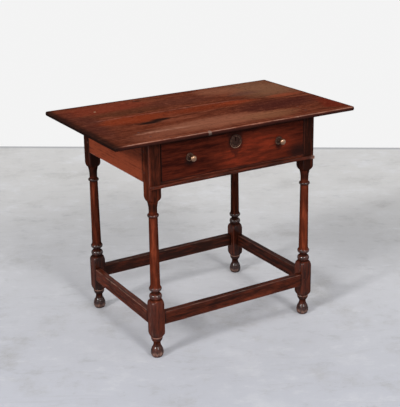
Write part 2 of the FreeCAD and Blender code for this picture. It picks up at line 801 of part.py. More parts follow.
for face, (outer_y, inner_y, _) in FACES.items():
    for hand, (outer_x, inner_x, _) in HANDS.items():
        name = f"leg_{face}_{hand}"
        centre = (f"({outer_x} + {inner_x}) / 2", f"({outer_y} + {inner_y}) / 2", "0")
        turning = turned(f"{name}_turning_blank", LEG_STATIONS, centre)
        width = (outer_x, inner_x) if hand == "left" else (inner_x, outer_x)
        depth = (outer_y, inner_y) if face == "front" else (inner_y, outer_y)
        stock = block(f"{name}_stock", width, depth, ("0", "frame_top"))
        shaped = overlap(f"{name}_shape", turning, stock)
        piece(carve(f"{name}_cut", shaped, leg_cuts[face, hand]), name)
piece(group("apron_peg_group", apron_pegs), "apron_pegs")
piece(group("stretcher_peg_group", stretcher_pegs), "stretcher_pegs")

# ---------------------------------------------------------------- drawer box
side_nails, bottom_nails = [], []
front_cuts, back_cuts = [], []
floor_holes = {"front": [], "back": []}
DRAWER_SIDES = {
    "left": ("drawer_left", 1, "+x"),
    "right": ("drawer_right", -1, "-x"),
}
SIDE_NAILS = {
    "front_low": ("(side_start + drawer_inside) / 2", "floor_top + nail_margin", front_cuts),
    "front_middle": ("(side_start + drawer_inside) / 2", "(side_low + side_high) / 2", front_cuts),
    "front_high": ("(side_start + drawer_inside) / 2", "side_high - nail_margin", front_cuts),
    "back_low": ("drawer_end - drawer_back_thickness / 2", "floor_top + nail_margin", back_cuts),
    "back_high": ("drawer_end - drawer_back_thickness / 2", "back_board_top - nail_margin", back_cuts),
}
FLOOR_NAILS = {
    "front": ("floor_start + bottom_nail_margin", "floor_seam - bottom_nail_margin"),
    "back": ("floor_seam + bottom_nail_margin", "drawer_end - bottom_nail_margin"),
}
for hand, (outer, sign, way) in DRAWER_SIDES.items():
    def inward(near, far):
        """A span between two depths behind this side's outer face."""
        return span_inward(outer, sign, near, far)

    board = block(f"{hand}_side_board", inward("0", "drawer_side_thickness"),
                  ("side_start", "drawer_end"), ("side_low", "side_high"))
    rabbet = block(f"{hand}_side_rabbet",
                   inward("drawer_side_thickness - drawer_rabbet", "drawer_side_thickness"),
                   ("side_start", "drawer_end"), ("side_low", "floor_top"))
    cuts = [rabbet]
    for key, (along, height, receiver) in SIDE_NAILS.items():
        solid, hole = nail(f"{hand}_side_nail_{key}", "nail_diameter", "nail_head_diameter", "nail_length",
                           (outer, along, height), way)
        side_nails.append(solid)
        cuts.append(hole)
        receiver.append(hole)
    nail_line = f"{outer} + ({sign}) * (drawer_side_thickness - drawer_rabbet / 2)"
    for board_key, ends in FLOOR_NAILS.items():
        for number, along in enumerate(ends, start=1):
            solid, hole = nail(f"{hand}_floor_nail_{board_key}_{number}",
                               "nail_diameter", "nail_head_diameter", "bottom_nail_length",
                               (nail_line, along, "side_low"), "+z")
            bottom_nails.append(solid)
            cuts.append(hole)
            floor_holes[board_key].append(hole)
    front_cuts.append(block(f"{hand}_front_lap", inward("0", "drawer_side_thickness"),
                            ("side_start", "drawer_inside"), ("drawer_low", "side_high")))
    piece(carve(f"{hand}_side", board, cuts), f"drawer_side_{hand}")

back_board = block("back_board_box",
                   ("drawer_left + drawer_side_thickness", "drawer_right - drawer_side_thickness"),
                   ("drawer_end - drawer_back_thickness", "drawer_end"),
                   ("floor_top", "back_board_top"))
piece(carve("drawer_back_cut", back_board, back_cuts), "drawer_back")

floor_span = ("drawer_left + drawer_side_thickness - drawer_rabbet",
              "drawer_right - drawer_side_thickness + drawer_rabbet")
FLOORS = {"front": ("floor_start", "floor_seam"), "back": ("floor_seam", "drawer_end")}
for key, span in FLOORS.items():
    floor = block(f"{key}_floor_board", floor_span, span, ("side_low", "floor_top"))
    piece(carve(f"{key}_floor", floor, floor_holes[key]), f"drawer_bottom_{key}")
piece(group("side_nail_group", side_nails), "drawer_side_nails")
piece(group("floor_nail_group", bottom_nails), "drawer_bottom_nails")

# ---------------------------------------------------------------- knobs
KNOBS = {"left": "frame_middle - knob_spacing / 2", "right": "frame_middle + knob_spacing / 2"}
nuts = []
for hand, across in KNOBS.items():
    knob = turned(f"{hand}_knob", [
        ("zero", "zero", "line"),
        ("post_radius", "zero", "line"),
        ("post_radius", "knob_seat", "line"),
        ("knob_foot_radius", "knob_seat", "line"),
        ("knob_foot_radius", "knob_foot_top", "line"),
        ("knob_neck_radius", "knob_head_start", "upright end"),
        ("knob_head_radius", "knob_head_middle", "upright end"),
        ("knob_button_radius", "knob_end", "upright start"),
        ("zero", "knob_end", "line"),
    ], (across, "frame_front + post_length", "knob_height"), "-y")
    piece(knob, f"knob_{hand}")
    rose = turned(f"{hand}_rose", [
        ("rose_hole_radius", "zero", "line"),
        ("rose_radius", "zero", "line"),
        ("rose_radius", "rose_edge", "line"),
        ("rose_flat_radius", "rose_thickness", "line"),
        ("rose_hole_radius", "rose_thickness", "line"),
    ], (across, "frame_front", "knob_height"), "-y")
    piece(rose, f"knob_rose_{hand}")
    half = "nut_width / 2"
    nut_blank = block(f"{hand}_nut_blank", (f"{across} - {half}", f"{across} + {half}"),
                      ("drawer_inside", "drawer_inside + nut_thickness"),
                      (f"knob_height - {half}", f"knob_height + {half}"))
    thread = rod(f"{hand}_nut_thread", "knob_post_diameter + 2 * thread_gap", "nut_thickness",
                 (across, "drawer_inside", "knob_height"), "+y")
    nuts.append(carve(f"{hand}_nut", nut_blank, [thread]))
    front_cuts.append(rod(f"{hand}_post_hole", "knob_post_diameter + 2 * post_hole_gap",
                          "drawer_front_thickness", (across, "frame_front", "knob_height"), "+y"))
piece(group("nut_group", nuts), "knob_nuts")

# ---------------------------------------------------------------- escutcheon


def keyhole(name, start, end):
    """A keyhole cut between two depths: a round head with a slot below it."""
    return join(name, [
        rod(f"{name}_head", "keyhole_diameter", f"{end} - ({start})",
            ("frame_middle", start, "key_height"), "+y"),
        block(f"{name}_slot", across_middle("keyhole_width"),
              (start, end), ("key_height - keyhole_length", "key_height")),
    ])


escutcheon_blank = turned("escutcheon_disc", [
    ("zero", "zero", "line"),
    ("escutcheon_radius", "zero", "line"),
    ("escutcheon_radius", "escutcheon_edge", "line"),
    ("escutcheon_rim_radius", "escutcheon_rim_height", "upright start"),
    ("escutcheon_dish_radius", "escutcheon_dish", "line"),
    ("escutcheon_boss_foot", "escutcheon_dish", "line"),
    ("escutcheon_boss_radius", "escutcheon_boss_height", "line"),
    ("zero", "escutcheon_boss_height", "line"),
], ("frame_middle", "frame_front", "escutcheon_height"), "-y")
escutcheon_pins, escutcheon_pin_holes = [], []
for number, (right, up) in enumerate(((-1, -1), (1, -1), (-1, 1), (1, 1)), start=1):
    point = (f"frame_middle + {right} * escutcheon_pin_spacing / 2",
             "frame_front - escutcheon_dish - nail_head_height",
             f"escutcheon_height + {up} * escutcheon_pin_spacing / 2")
    solid, hole = nail(f"escutcheon_pin_{number}", "escutcheon_pin_diameter", "escutcheon_pin_head",
                       "escutcheon_pin_length", point, "+y")
    escutcheon_pins.append(solid)
    escutcheon_pin_holes.append(hole)
plate_keyhole = keyhole("plate_keyhole", "frame_front - escutcheon_rim_height", "frame_front")
piece(carve("escutcheon_cut", escutcheon_blank, [plate_keyhole] + escutcheon_pin_holes), "escutcheon")
piece(group("escutcheon_pin_group", escutcheon_pins), "escutcheon_pins")
front_cuts += escutcheon_pin_holes

# ---------------------------------------------------------------- lock

plate_blank = join("plate_blank", [
    block("lock_back_plate", across_middle("lock_width"),
          ("plate_front", "drawer_inside"), ("lock_low", "drawer_high")),
    block("lock_selvage", across_middle("lock_width"),
          ("case_front", "drawer_inside"), ("case_high", "drawer_high")),
])
bolt_slot = block("bolt_slot", across_middle("bolt_head_width + 2 * bolt_gap"),
                  ("bolt_front - bolt_gap", "plate_front"), ("case_high", "drawer_high"))
screws, screw_holes = [], []
for number, (right, height) in enumerate((
        (-1, "lock_low + screw_margin"), (1, "lock_low + screw_margin"),
        (-1, "drawer_high - screw_drop"), (1, "drawer_high - screw_drop")), start=1):
    point = (f"frame_middle + {right} * (lock_width / 2 - screw_margin)", "drawer_inside", height)
    solid, hole = nail(f"lock_screw_{number}", "screw_diameter", "screw_head_diameter",
                       "screw_length", point, "-y")
    screws.append(solid)
    screw_holes.append(hole)
piece(carve("lock_plate_cut", plate_blank, [bolt_slot] + screw_holes), "lock_plate")
piece(group("screw_group", screws), "lock_screws")

case_blank = block("case_blank", across_middle("lock_case_width"), ("case_front", "plate_front"),
                   ("case_low", "case_high"))
case_hollow = block("case_hollow", across_middle("lock_case_width - 2 * lock_case_wall"),
                    ("case_front + lock_case_wall", "plate_front"),
                    ("case_low + lock_case_wall", "case_high"))
piece(carve("case_cut", case_blank, [
    case_hollow,
    keyhole("case_keyhole", "case_front", "case_front + lock_case_wall"),
]), "lock_case")

bolt_blank = join("bolt_blank", [
    block("bolt_body", across_middle("bolt_width"),
          ("bolt_front", "bolt_back"), ("bolt_low", "bolt_shoulder")),
    block("bolt_head", across_middle("bolt_head_width"),
          ("bolt_front", "bolt_back"), ("bolt_low", "bolt_high")),
])
bolt_window = block("bolt_window", across_middle("bolt_window_width"), ("bolt_front", "bolt_back"),
                    ("window_low", "window_low + bolt_window_height"))
piece(carve("bolt_cut", bolt_blank, [bolt_window]), "lock_bolt")

piece(rod("key_pin", "key_pin_diameter", "lock_case_depth - lock_case_wall - key_pin_gap",
          ("frame_middle", "plate_front", "key_height"), "-y"), "lock_key_pin")
spring_start = "frame_middle + bolt_width / 2 + bolt_gap"
spring_low = "case_low + lock_case_wall + spring_rise"
piece(block("spring_blade", (spring_start, f"{spring_start} + spring_thickness"),
            ("plate_front - spring_width", "plate_front"), (spring_low, f"{spring_low} + spring_height")),
      "lock_spring")

# ---------------------------------------------------------------- drawer front
front_blank = block("front_blank", ("drawer_left", "drawer_right"), ("frame_front", "drawer_inside"),
                    ("drawer_low", "drawer_high"))
floor_groove = block("front_floor_rabbet", floor_span,
                     ("floor_start", "drawer_inside"), ("drawer_low", "floor_top"))
plate_recess = block("plate_recess", across_middle("lock_width + 2 * lock_recess_gap"),
                     ("plate_front", "drawer_inside"), ("lock_low - lock_recess_gap", "drawer_high"))
selvage_recess = block("selvage_recess", across_middle("lock_width + 2 * lock_recess_gap"),
                       ("case_front - lock_recess_gap", "drawer_inside"),
                       ("case_high - lock_recess_gap", "drawer_high"))
case_recess = block("case_recess", across_middle("lock_case_width + 2 * lock_recess_gap"),
                    ("case_front - lock_recess_gap", "drawer_inside"),
                    ("case_low - lock_recess_gap", "drawer_high"))
front_cuts += [floor_groove, plate_recess, selvage_recess, case_recess, *screw_holes,
               keyhole("front_keyhole", "frame_front", "case_front")]
piece(carve("drawer_front_cut", front_blank, front_cuts), "drawer_front")

# ---------------------------------------------------------------- checks and export
doc.recompute()
for thing in doc.Objects:
    if "Invalid" in thing.State or "Error" in thing.State:
        raise RuntimeError(f"{thing.Name} failed: {thing.State}")
labels = [thing.Label for thing in pieces]
if len(set(labels)) != len(labels):
    raise RuntimeError("two sub-parts share a name")
for thing in pieces:
    shape = thing.Shape
    if shape.isNull() or not shape.isValid() or not shape.Solids:
        raise RuntimeError(f"{thing.Label} has no valid solid")
    shape.exportStep(os.path.join("parts", f"{thing.Label}.step"))
print(f"{len(pieces)} sub-parts, {sum(len(thing.Shape.Solids) for thing in pieces)} solids")
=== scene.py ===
"""An old joined tavern table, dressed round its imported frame.

Lengths are metres in the table's own frame: the floor is z = 0, +X runs along the top and the
drawer opens towards -Y.  Each operator makes one piece, one group of like pieces, or the stage.
"""

import math
from collections import namedtuple

import bpy
import numpy as np
from mathutils import Matrix, Vector


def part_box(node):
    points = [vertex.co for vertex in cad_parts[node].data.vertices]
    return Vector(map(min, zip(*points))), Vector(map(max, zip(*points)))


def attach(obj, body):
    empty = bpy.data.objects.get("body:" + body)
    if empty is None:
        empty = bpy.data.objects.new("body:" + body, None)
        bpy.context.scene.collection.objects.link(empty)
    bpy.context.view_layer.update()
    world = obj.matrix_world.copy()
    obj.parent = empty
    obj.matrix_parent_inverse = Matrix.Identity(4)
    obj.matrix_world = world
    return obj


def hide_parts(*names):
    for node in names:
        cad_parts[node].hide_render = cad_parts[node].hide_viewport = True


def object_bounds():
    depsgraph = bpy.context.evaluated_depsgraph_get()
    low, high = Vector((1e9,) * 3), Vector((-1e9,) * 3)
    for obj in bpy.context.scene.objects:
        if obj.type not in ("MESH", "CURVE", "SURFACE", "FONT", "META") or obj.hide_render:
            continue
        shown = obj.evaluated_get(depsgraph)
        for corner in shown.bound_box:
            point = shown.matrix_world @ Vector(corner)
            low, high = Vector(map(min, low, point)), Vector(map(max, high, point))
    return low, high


bl_info = {
    "name": "Tavern table",
    "version": (1, 0, 0),
    "blender": (4, 5, 0),
    "location": "3D View > Sidebar > Tavern table",
    "description": "Makes the worn woodwork and brass of an old joined table round its frame",
    "category": "Add Mesh",
}

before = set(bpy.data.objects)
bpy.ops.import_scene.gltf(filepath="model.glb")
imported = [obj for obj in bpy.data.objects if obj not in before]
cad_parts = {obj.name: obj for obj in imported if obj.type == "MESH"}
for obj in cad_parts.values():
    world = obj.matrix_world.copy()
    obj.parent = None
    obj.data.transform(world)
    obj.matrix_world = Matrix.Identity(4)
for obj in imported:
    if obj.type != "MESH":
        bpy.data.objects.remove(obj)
CAD_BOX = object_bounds()

MM = 0.001
# a board's directions along, across and through it, by the axis that it runs in
AXES = {"x": (0, 1, 2), "y": (1, 2, 0)}


def node_box(name):
    """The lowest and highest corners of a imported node, as arrays."""
    low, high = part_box(name)
    return np.array(low), np.array(high)


def node_centre(name):
    """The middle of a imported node's box, as three plain numbers."""
    low, high = node_box(name)
    return ((low + high) / 2).tolist()


FRONT_LEFT_LEG = node_box("leg_front_left")
BACK_RIGHT_LEG = node_box("leg_back_right")
LEG_WIDTH = float(FRONT_LEFT_LEG[1][0] - FRONT_LEFT_LEG[0][0])
FRAME_MIDDLE = ((FRONT_LEFT_LEG[0] + BACK_RIGHT_LEG[1]) / 2).tolist()


# ---------------------------------------------------------------- settings
def number(name, description, default, lowest=0.0, **more):
    """A number that a user may change."""
    return bpy.props.FloatProperty(name=name, description=description, default=default,
                                   min=lowest, **more)


def length(name, description, default):
    """A length, shown in the scene's units."""
    return number(name, description, default, subtype="DISTANCE", unit="LENGTH", precision=5)


def share(name, description, default):
    """A fraction between none and all."""
    return number(name, description, default, max=1.0, subtype="FACTOR")


def angle(name, description, degrees):
    """An angle, given in degrees."""
    return number(name, description, math.radians(degrees), -math.pi,
                  subtype="ANGLE", unit="ROTATION")


def colour(name, description, default):
    """A linear colour."""
    return bpy.props.FloatVectorProperty(name=name, description=description, default=default,
                                         size=3, min=0.0, max=1.0, subtype="COLOR")


class TopSettings(bpy.types.PropertyGroup):
    """Sizes of the board top."""
    edge_round: length("Edge rounding", "Radius of the top's worn outer edges", 5.0 * MM)
    corner_round: length("Corner rounding", "Radius of the top's corners in plan", 6.0 * MM)
    seam_round: length("Seam rounding", "Worn arris on each side of a seam", 0.9 * MM)
    hollow: length("Hollow", "How far the boards' faces dip between high spots", 0.45 * MM)
    split_depth: length("Split depth", "Depth of the open split in the middle board", 1.2 * MM)
    nick_depth: length("Nick depth", "Depth of the chip in the front edge", 2.2 * MM)


class LegSettings(bpy.types.PropertyGroup):
    """Sizes of the turned legs."""
    arris_blend: number("Arris blend", "How sharply turning and square meet; higher is sharper",
                        42.0, 10.0)
    tool_mark: length("Tool mark", "Depth of the marks that the turner's chisel left", 0.08 * MM)
    wander: length("Wander", "How far worn wood strays inside its true shape", 0.22 * MM)


class FrameSettings(bpy.types.PropertyGroup):
    """Sizes of the flat members of the frame."""
    arris_round: length("Arris rounding", "Worn radius along the members' long edges", 1.6 * MM)
    stretcher_round: length("Stretcher rounding", "Radius of the foot-worn upper arrises", 3.6 * MM)
    wander: length("Wander", "How far planed faces stray inside their true shape", 0.35 * MM)
    droop: length("Bead droop", "How far the bead's loose right end hangs down", 3.5 * MM)


class BrassSettings(bpy.types.PropertyGroup):
    """Relief and colours of the brass fittings."""
    plate_relief: length("Plate relief", "Height of the round plate's petals", 0.95 * MM)
    rose_relief: length("Rose relief", "Height of the petals on the knobs' roses", 0.60 * MM)
    polished: colour("Polished", "Brass rubbed bright by hands", (0.250, 0.130, 0.068))
    tarnished: colour("Tarnished", "Dull brass in sheltered places", (0.036, 0.0150, 0.0115))
    verdigris: colour("Verdigris", "Green bloom round the plate's details", (0.030, 0.024, 0.016))


class WoodSettings(bpy.types.PropertyGroup):
    """Colours of the polished wood."""
    deep: colour("Deep", "Darkest wood between the figure", (0.020, 0.0052, 0.0030))
    body: colour("Body", "The frame's usual red brown", (0.088, 0.0175, 0.0078))
    glow: colour("Glow", "Lighter streaks of the frame's figure", (0.235, 0.0470, 0.0190))
    top_deep: colour("Top deep", "Darkest wood of the top", (0.052, 0.0120, 0.0060))
    top_body: colour("Top body", "The top's usual brown", (0.103, 0.0238, 0.0115))
    top_glow: colour("Top glow", "Lighter streaks of the top's figure", (0.190, 0.0530, 0.0275))
    front_deep: colour("Drawer deep", "Darkest wood of the drawer front", (0.024, 0.0040, 0.0024))
    front_body: colour("Drawer body", "The drawer front's dark red", (0.082, 0.0135, 0.0062))
    front_glow: colour("Drawer glow", "The drawer front's lighter streaks", (0.190, 0.0250, 0.0100))
    worn: colour("Worn", "Wood rubbed pale along the arrises", (0.400, 0.215, 0.155))
    # this colour paints grime, and also the painted shade under the top
    grime_and_shade: colour("Grime", "Old wax and dirt in the corners", (0.0090, 0.0050, 0.0040))
    pine: colour("Pine", "Bare aged pine inside the drawer", (0.330, 0.190, 0.085))


class StageSettings(bpy.types.PropertyGroup):
    """The floor, the light and the camera."""
    floor: colour("Floor", "Pale floor", (0.530, 0.539, 0.570))
    backdrop: share("Backdrop", "Brightness of the backdrop, 1 is white", 0.90)
    far_edge: length("Far edge", "Distance from the origin to the floor's far edge", 2.0207)
    far_slant: number("Far slant", "How much nearer the far edge comes per metre to the right",
                      0.0700, -1.0)
    azimuth: angle("Azimuth", "Camera direction round the table", -30.785)
    elevation: angle("Elevation", "Camera height above the horizon", 16.555)
    roll: angle("Roll", "Camera tilt about its own view", 0.917)
    distance: length("Distance", "From the camera to its aim", 3.1853)
    aim_right: length("Aim right", "How far right of the table's middle the aim lies", 0.0087)
    aim_up: length("Aim up", "How far above the table's middle the aim lies", 0.1899)
    lens: number("Lens", "Focal length on a 36 mm wide sensor, in mm", 85.79, 10.0)
    lens_shift: number("Lens shift", "Vertical shift as a share of the picture", -0.12, -1.0)
    sky: number("Light all round", "Strength of the light from all round", 0.095)
    left_lamp: number("Left light", "Strength of the light from the left", 2.34)
    front_lamp: number("Front light", "Strength of the tall light from the front", 1.66)
    corner_lamp: number("Corner light", "Strength of the wide light from the front left", 0.40)
    right_lamp: number("Right light", "Strength of the wide light from the right", 0.65)
    back_lamp: number("Back light", "Strength of the wide high light from behind", 0.55)


# ---------------------------------------------------------------- shader maths
def by_maths(operation, swapped=False):
    """A method that puts a wire and another value through a Math node."""
    def method(wire, other):
        return wire.paint.maths(operation, *((other, wire) if swapped else (wire, other)))
    return method


class Wire:
    """One output of a material's node.  Python's operators on it add Math nodes."""

    def __init__(self, paint, socket):
        self.paint = paint
        self.socket = socket

    __add__, __radd__ = by_maths("ADD"), by_maths("ADD", swapped=True)
    __sub__, __rsub__ = by_maths("SUBTRACT"), by_maths("SUBTRACT", swapped=True)
    __mul__, __rmul__ = by_maths("MULTIPLY"), by_maths("MULTIPLY", swapped=True)
    __truediv__, __pow__ = by_maths("DIVIDE"), by_maths("POWER")


class Paint:
    """A material, or the world, that is built node by node."""

    def __init__(self, name, kind="materials"):
        self.owner = getattr(bpy.data, kind).new(name)
        self.owner.use_nodes = True
        self.tree = self.owner.node_tree
        self.tree.nodes.clear()

    def node(self, kind, settings=None, inputs=None, output=0):
        """Add a node, set it up, then fill its sockets with values or links; gives one output."""
        node = self.tree.nodes.new(kind)
        for name, value in (settings or {}).items():
            setattr(node, name, value)
        for key, value in (inputs or {}).items():
            if isinstance(value, Wire):
                self.tree.links.new(value.socket, node.inputs[key])
            else:
                node.inputs[key].default_value = value
        return Wire(self, node.outputs[output]) if len(node.outputs) else None

    def maths(self, operation, *values):
        return self.node("ShaderNodeMath", {"operation": operation}, dict(enumerate(values)))

    def attribute(self, name, output="Fac"):
        return self.node("ShaderNodeAttribute", {"attribute_name": name}, output=output)

    def place(self):
        """The point on the piece, in the table's own frame."""
        return self.node("ShaderNodeTexCoord", output="Object")

    def parts(self, vector):
        """The three numbers of a vector."""
        split = self.node("ShaderNodeSeparateXYZ", inputs={0: vector})
        return [Wire(self, socket) for socket in split.socket.node.outputs]

    def stretch(self, vector, scale):
        """A vector times three numbers."""
        return self.node("ShaderNodeVectorMath", {"operation": "MULTIPLY"}, {0: vector, 1: scale})

    def noise(self, vector, scale, detail=2.0, roughness=0.5):
        """Smooth noise from 0 to 1 with about one bump per metre over the scale."""
        return self.node("ShaderNodeTexNoise", inputs={
            "Vector": self.stretch(vector, scale), "Scale": 1.0,
            "Detail": detail, "Roughness": roughness})

    def between(self, value, low, high):
        """0 below one value, 1 above the other, and a smooth step between them."""
        return self.node("ShaderNodeMapRange", {"interpolation_type": "SMOOTHSTEP"},
                         {"Value": value, "From Min": low, "From Max": high})

    def within(self, value, start, full, fall, end):
        """1 between the two middle values, 0 outside the outer two, and smooth steps between."""
        return self.between(value, start, full) * (1 - self.between(value, fall, end))

    def largest(self, first, *others):
        """The largest of several numbers."""
        for other in others:
            first = self.maths("MAXIMUM", first, other)
        return first

    def spot(self, across, along, centre, size):
        """1 at a centre that fades to 0 at an ellipse's edge."""
        near = ((across - centre[0]) / size[0]) ** 2 + ((along - centre[1]) / size[1]) ** 2
        return 1 - self.between(near, 0.0, 1.0)

    def mix(self, first, second, factor):
        """A colour part of the way from one colour to another."""
        colours = [value if isinstance(value, Wire) else (*value, 1.0)
                   for value in (first, second)]
        return self.node("ShaderNodeMix", {"data_type": "RGBA"},
                         {0: factor, 6: colours[0], 7: colours[1]}, 2)

    def layers(self, body, *coats):
        """A body with coats laid over it one by one, each a pair of a colour and its cover."""
        for shade, cover in coats:
            body = self.mix(body, shade, cover)
        return body

    def bump(self, height, distance):
        return self.node("ShaderNodeBump", inputs={
            "Height": height, "Distance": distance, "Strength": 1.0})

    def finish(self, **inputs):
        """Close the material with a principled shader and give it back."""
        shader = self.node("ShaderNodeBsdfPrincipled", inputs={
            key.replace("_", " "): value for key, value in inputs.items()})
        self.node("ShaderNodeOutputMaterial", inputs={"Surface": shader})
        return self.owner


# ---------------------------------------------------------------- finishes
def wood_figure(paint, grain, rings, spacing, contrast=1.0):
    """The figure of the wood from its own coordinates (along, across, through).

    Rings are cylinders round the tree's heart, which the coordinates put to one side, pushed
    about by slow noise.  Streaks and fibres are noise stretched along the grain, and pores are
    its finest peaks.  Gives (figure, fibre, pore, patch), each from about 0 to 1.
    """
    _, across, through = paint.parts(grain)
    sway = paint.noise(grain, (1.9, 7.0, 7.0), 1.0) - 0.5
    radius = ((across + sway * 0.05) ** 2 + (through + sway * 0.03) ** 2) ** 0.5
    ring = paint.maths("SINE", radius * (2 * math.pi / spacing)) * 0.5 + 0.5
    streak = paint.noise(grain, (4.5, 75, 75), 3.0, 0.55)
    fibre = paint.noise(grain, (14, 420, 420), 4.0, 0.6)
    pore = paint.between(paint.noise(grain, (55, 1300, 1300), 2.0), 0.56, 0.70)
    patch = paint.noise(grain, (5.0, 16.0, 16.0), 3.0, 0.55)
    dash = paint.noise(grain, (20, 125, 125), 3.0, 0.6)
    figure = (ring - 0.5) * rings + (streak - 0.5) * 1.1 + (dash - 0.5) * 1.7 + (fibre - 0.5) * 0.6
    figure = (figure + (patch - 0.5) * 0.7) * contrast
    return paint.between(figure, -0.55, 0.55), fibre, pore, patch


def carried_skin(paint):
    """A piece's own fields: wood coordinates, wear, grime with painted shade, and tone."""
    return (paint.attribute("grain", "Vector"),
            *(paint.attribute(key) for key in ("wear", "grime_and_shade", "tone")))


def polished_wood(name, wood, palette="", gloss=0.30, rings=0.25, spacing=5.0 * MM, contrast=1.0,
                  polish=0.02, buffed=0.10, relief=0.22 * MM, skin=carried_skin,
                  tint=None, marks=None):
    """Old polished wood: dark figure, pale rubbed arrises, grime where no cloth reaches, and
    painted shade.

    The skin says where: wear, and grime with painted shade, run from 0 to 1, and tone shifts a
    place darker or lighter.  Marks may change the colour with extra stains before the wear.  A thin
    coat of shellac does all the shining: its weight is the polish, plus buffed times the wear, plus
    a piece's own shine.
    """
    paint = Paint(name)
    deep, medium, glow = (getattr(wood, palette + key) for key in ("deep", "body", "glow"))
    grain, wear, grime_and_shade, tone = skin(paint)
    figure, fibre, pore, patch = wood_figure(paint, grain, rings, spacing, contrast)
    figure = figure + tone
    body = paint.mix(deep, medium, paint.between(figure, -0.30, 0.55))
    body = paint.mix(body, glow, paint.between(figure + (patch - 0.5) * 0.8, 0.40, 1.30))
    if tint:
        body = tint(paint, body)
    body = paint.mix(body, deep, pore * 0.5)
    if marks:
        body = marks(paint, body)
    blotch = paint.noise(grain, (38, 120, 120), 3.0, 0.65)
    rubbed = paint.between(wear + (blotch - 0.5) * 1.1, 0.45, 1.0)
    # grime and painted shade darken the body together
    dirt_and_shade = paint.between(grime_and_shade + (blotch - 0.5) * 0.5, 0.12, 0.90)
    body = paint.layers(body, (wood.worn, rubbed * 0.62), (wood.grime_and_shade, dirt_and_shade * 0.88))
    height = fibre * 0.35 - pore * 0.5 + blotch * 0.3
    return paint.finish(
        Base_Color=body,
        Roughness=0.5 + (fibre - 0.5) * 0.20 + dirt_and_shade * 0.20,
        Normal=paint.bump(height, relief),
        Specular_IOR_Level=0.0,
        Coat_Weight=polish + wear * buffed + paint.attribute("shine"),
        Coat_IOR=2.4,
        Coat_Roughness=gloss)


# where the top's boards differ: centre, half size, colour and share of each patch
TOP_PATCHES = (
    ((-0.265, 0.175), (0.200, 0.090), (0.190, 0.032, 0.0160), 0.50),
    ((-0.225, 0.095), (0.170, 0.050), (0.070, 0.024, 0.0110), 0.50),
    ((0.000, 0.130), (0.200, 0.060), (0.088, 0.026, 0.0170), 0.45),
    ((0.340, 0.140), (0.170, 0.170), (0.185, 0.088, 0.0490), 0.62),
    ((0.180, 0.190), (0.110, 0.070), (0.220, 0.080, 0.0450), 0.60),
    ((0.250, 0.110), (0.080, 0.035), (0.080, 0.030, 0.0260), 0.40),
    ((-0.245, 0.000), (0.180, 0.060), (0.200, 0.030, 0.0090), 0.62),
    ((0.030, 0.010), (0.190, 0.050), (0.170, 0.026, 0.0080), 0.55),
    ((0.150, 0.014), (0.085, 0.026), (0.250, 0.040, 0.0140), 0.42),
    ((0.345, 0.014), (0.080, 0.028), (0.250, 0.046, 0.0190), 0.42),
    ((0.248, -0.086), (0.210, 0.085), (0.042, 0.0090, 0.0075), 0.64),
    ((-0.050, -0.165), (0.270, 0.080), (0.260, 0.095, 0.0550), 0.62),
    ((-0.270, -0.205), (0.120, 0.050), (0.200, 0.064, 0.0370), 0.50),
    ((0.140, -0.190), (0.130, 0.055), (0.210, 0.084, 0.0420), 0.55),
    ((0.405, -0.165), (0.055, 0.095), (0.110, 0.0150, 0.0070), 0.85),
    ((-0.170, -0.105), (0.200, 0.030), (0.110, 0.0220, 0.0090), 0.50),
    ((-0.395, 0.010), (0.060, 0.250), (0.055, 0.0150, 0.0115), 0.48),
)
PATCH_STRENGTH = 1.25
# dark stains and knots on the top: centre, half size and share of each
TOP_STAINS = (
    ((-0.218, -0.066), (0.056, 0.0190), 1.0),
    ((-0.172, -0.048), (0.046, 0.0170), 1.0),
    ((-0.119, 0.213), (0.022, 0.0075), 0.8),
    ((-0.180, 0.069), (0.020, 0.0070), 0.8),
    ((-0.019, 0.046), (0.013, 0.0060), 0.7),
    ((0.345, -0.016), (0.016, 0.0050), 0.7),
)
# pale streaks on the top: their reach in y and in x, their ragged edge, colour and share
TOP_STREAKS = (
    ((0.035, 0.038, 0.041, 0.047), (-0.38, -0.33, 0.10, 0.22), (-0.14, 0.10),
     (0.300, 0.120, 0.090), 0.42),
    ((-0.182, -0.168, -0.166, -0.150), (-0.34, -0.29, -0.20, -0.07), (-0.16, 0.12),
     (0.360, 0.170, 0.115), 0.70),
)
# the top's open split, which two hollows make: centre and half size of each
TOP_SPLITS = (
    ((-0.214, -0.066), (0.040, 0.0022)),
    ((-0.166, -0.052), (0.026, 0.0018)),
)
# places along the front edge where it is chipped
NICK_AT, CHIP_AT = -0.118, 0.205


def top_tint(high):
    """Where the top's boards differ: patches of colour with ragged edges, crackle and dark rims.

    High is the top's farthest corner to the right, to the back and up.
    """
    right, back, face = high.tolist()

    def tint(paint, body):
        place = paint.place()
        x, y, z = paint.parts(place)
        drift = paint.noise(place, (5, 14, 11), 5.0, 0.65) - 0.5
        fine = paint.noise(place, (66, 125, 125), 5.0, 0.78) - 0.5
        across, along = x + drift * 0.16 + fine * 0.05, y + drift * 0.06 + fine * 0.025
        rim = paint.largest(paint.between(x, right - 0.012, right - 0.003),
                            paint.between(y, back - 0.014, back - 0.004))
        side = 1 - paint.between(z + fine * 0.002, face - 0.0046, face - 0.0022)
        patches = [(shade, paint.spot(across, along, centre, size) * (part * PATCH_STRENGTH))
                   for centre, size, shade, part in TOP_PATCHES]
        return paint.layers(
            body, *patches,
            ((0.030, 0.0080, 0.0060), paint.between(fine, 0.02, 0.20) * 0.70),
            ((0.280, 0.093, 0.0520), paint.between(fine, -0.02, -0.20) * 0.38),
            ((0.030, 0.0085, 0.0080), paint.largest(rim * 0.85, side * 0.80)))
    return tint


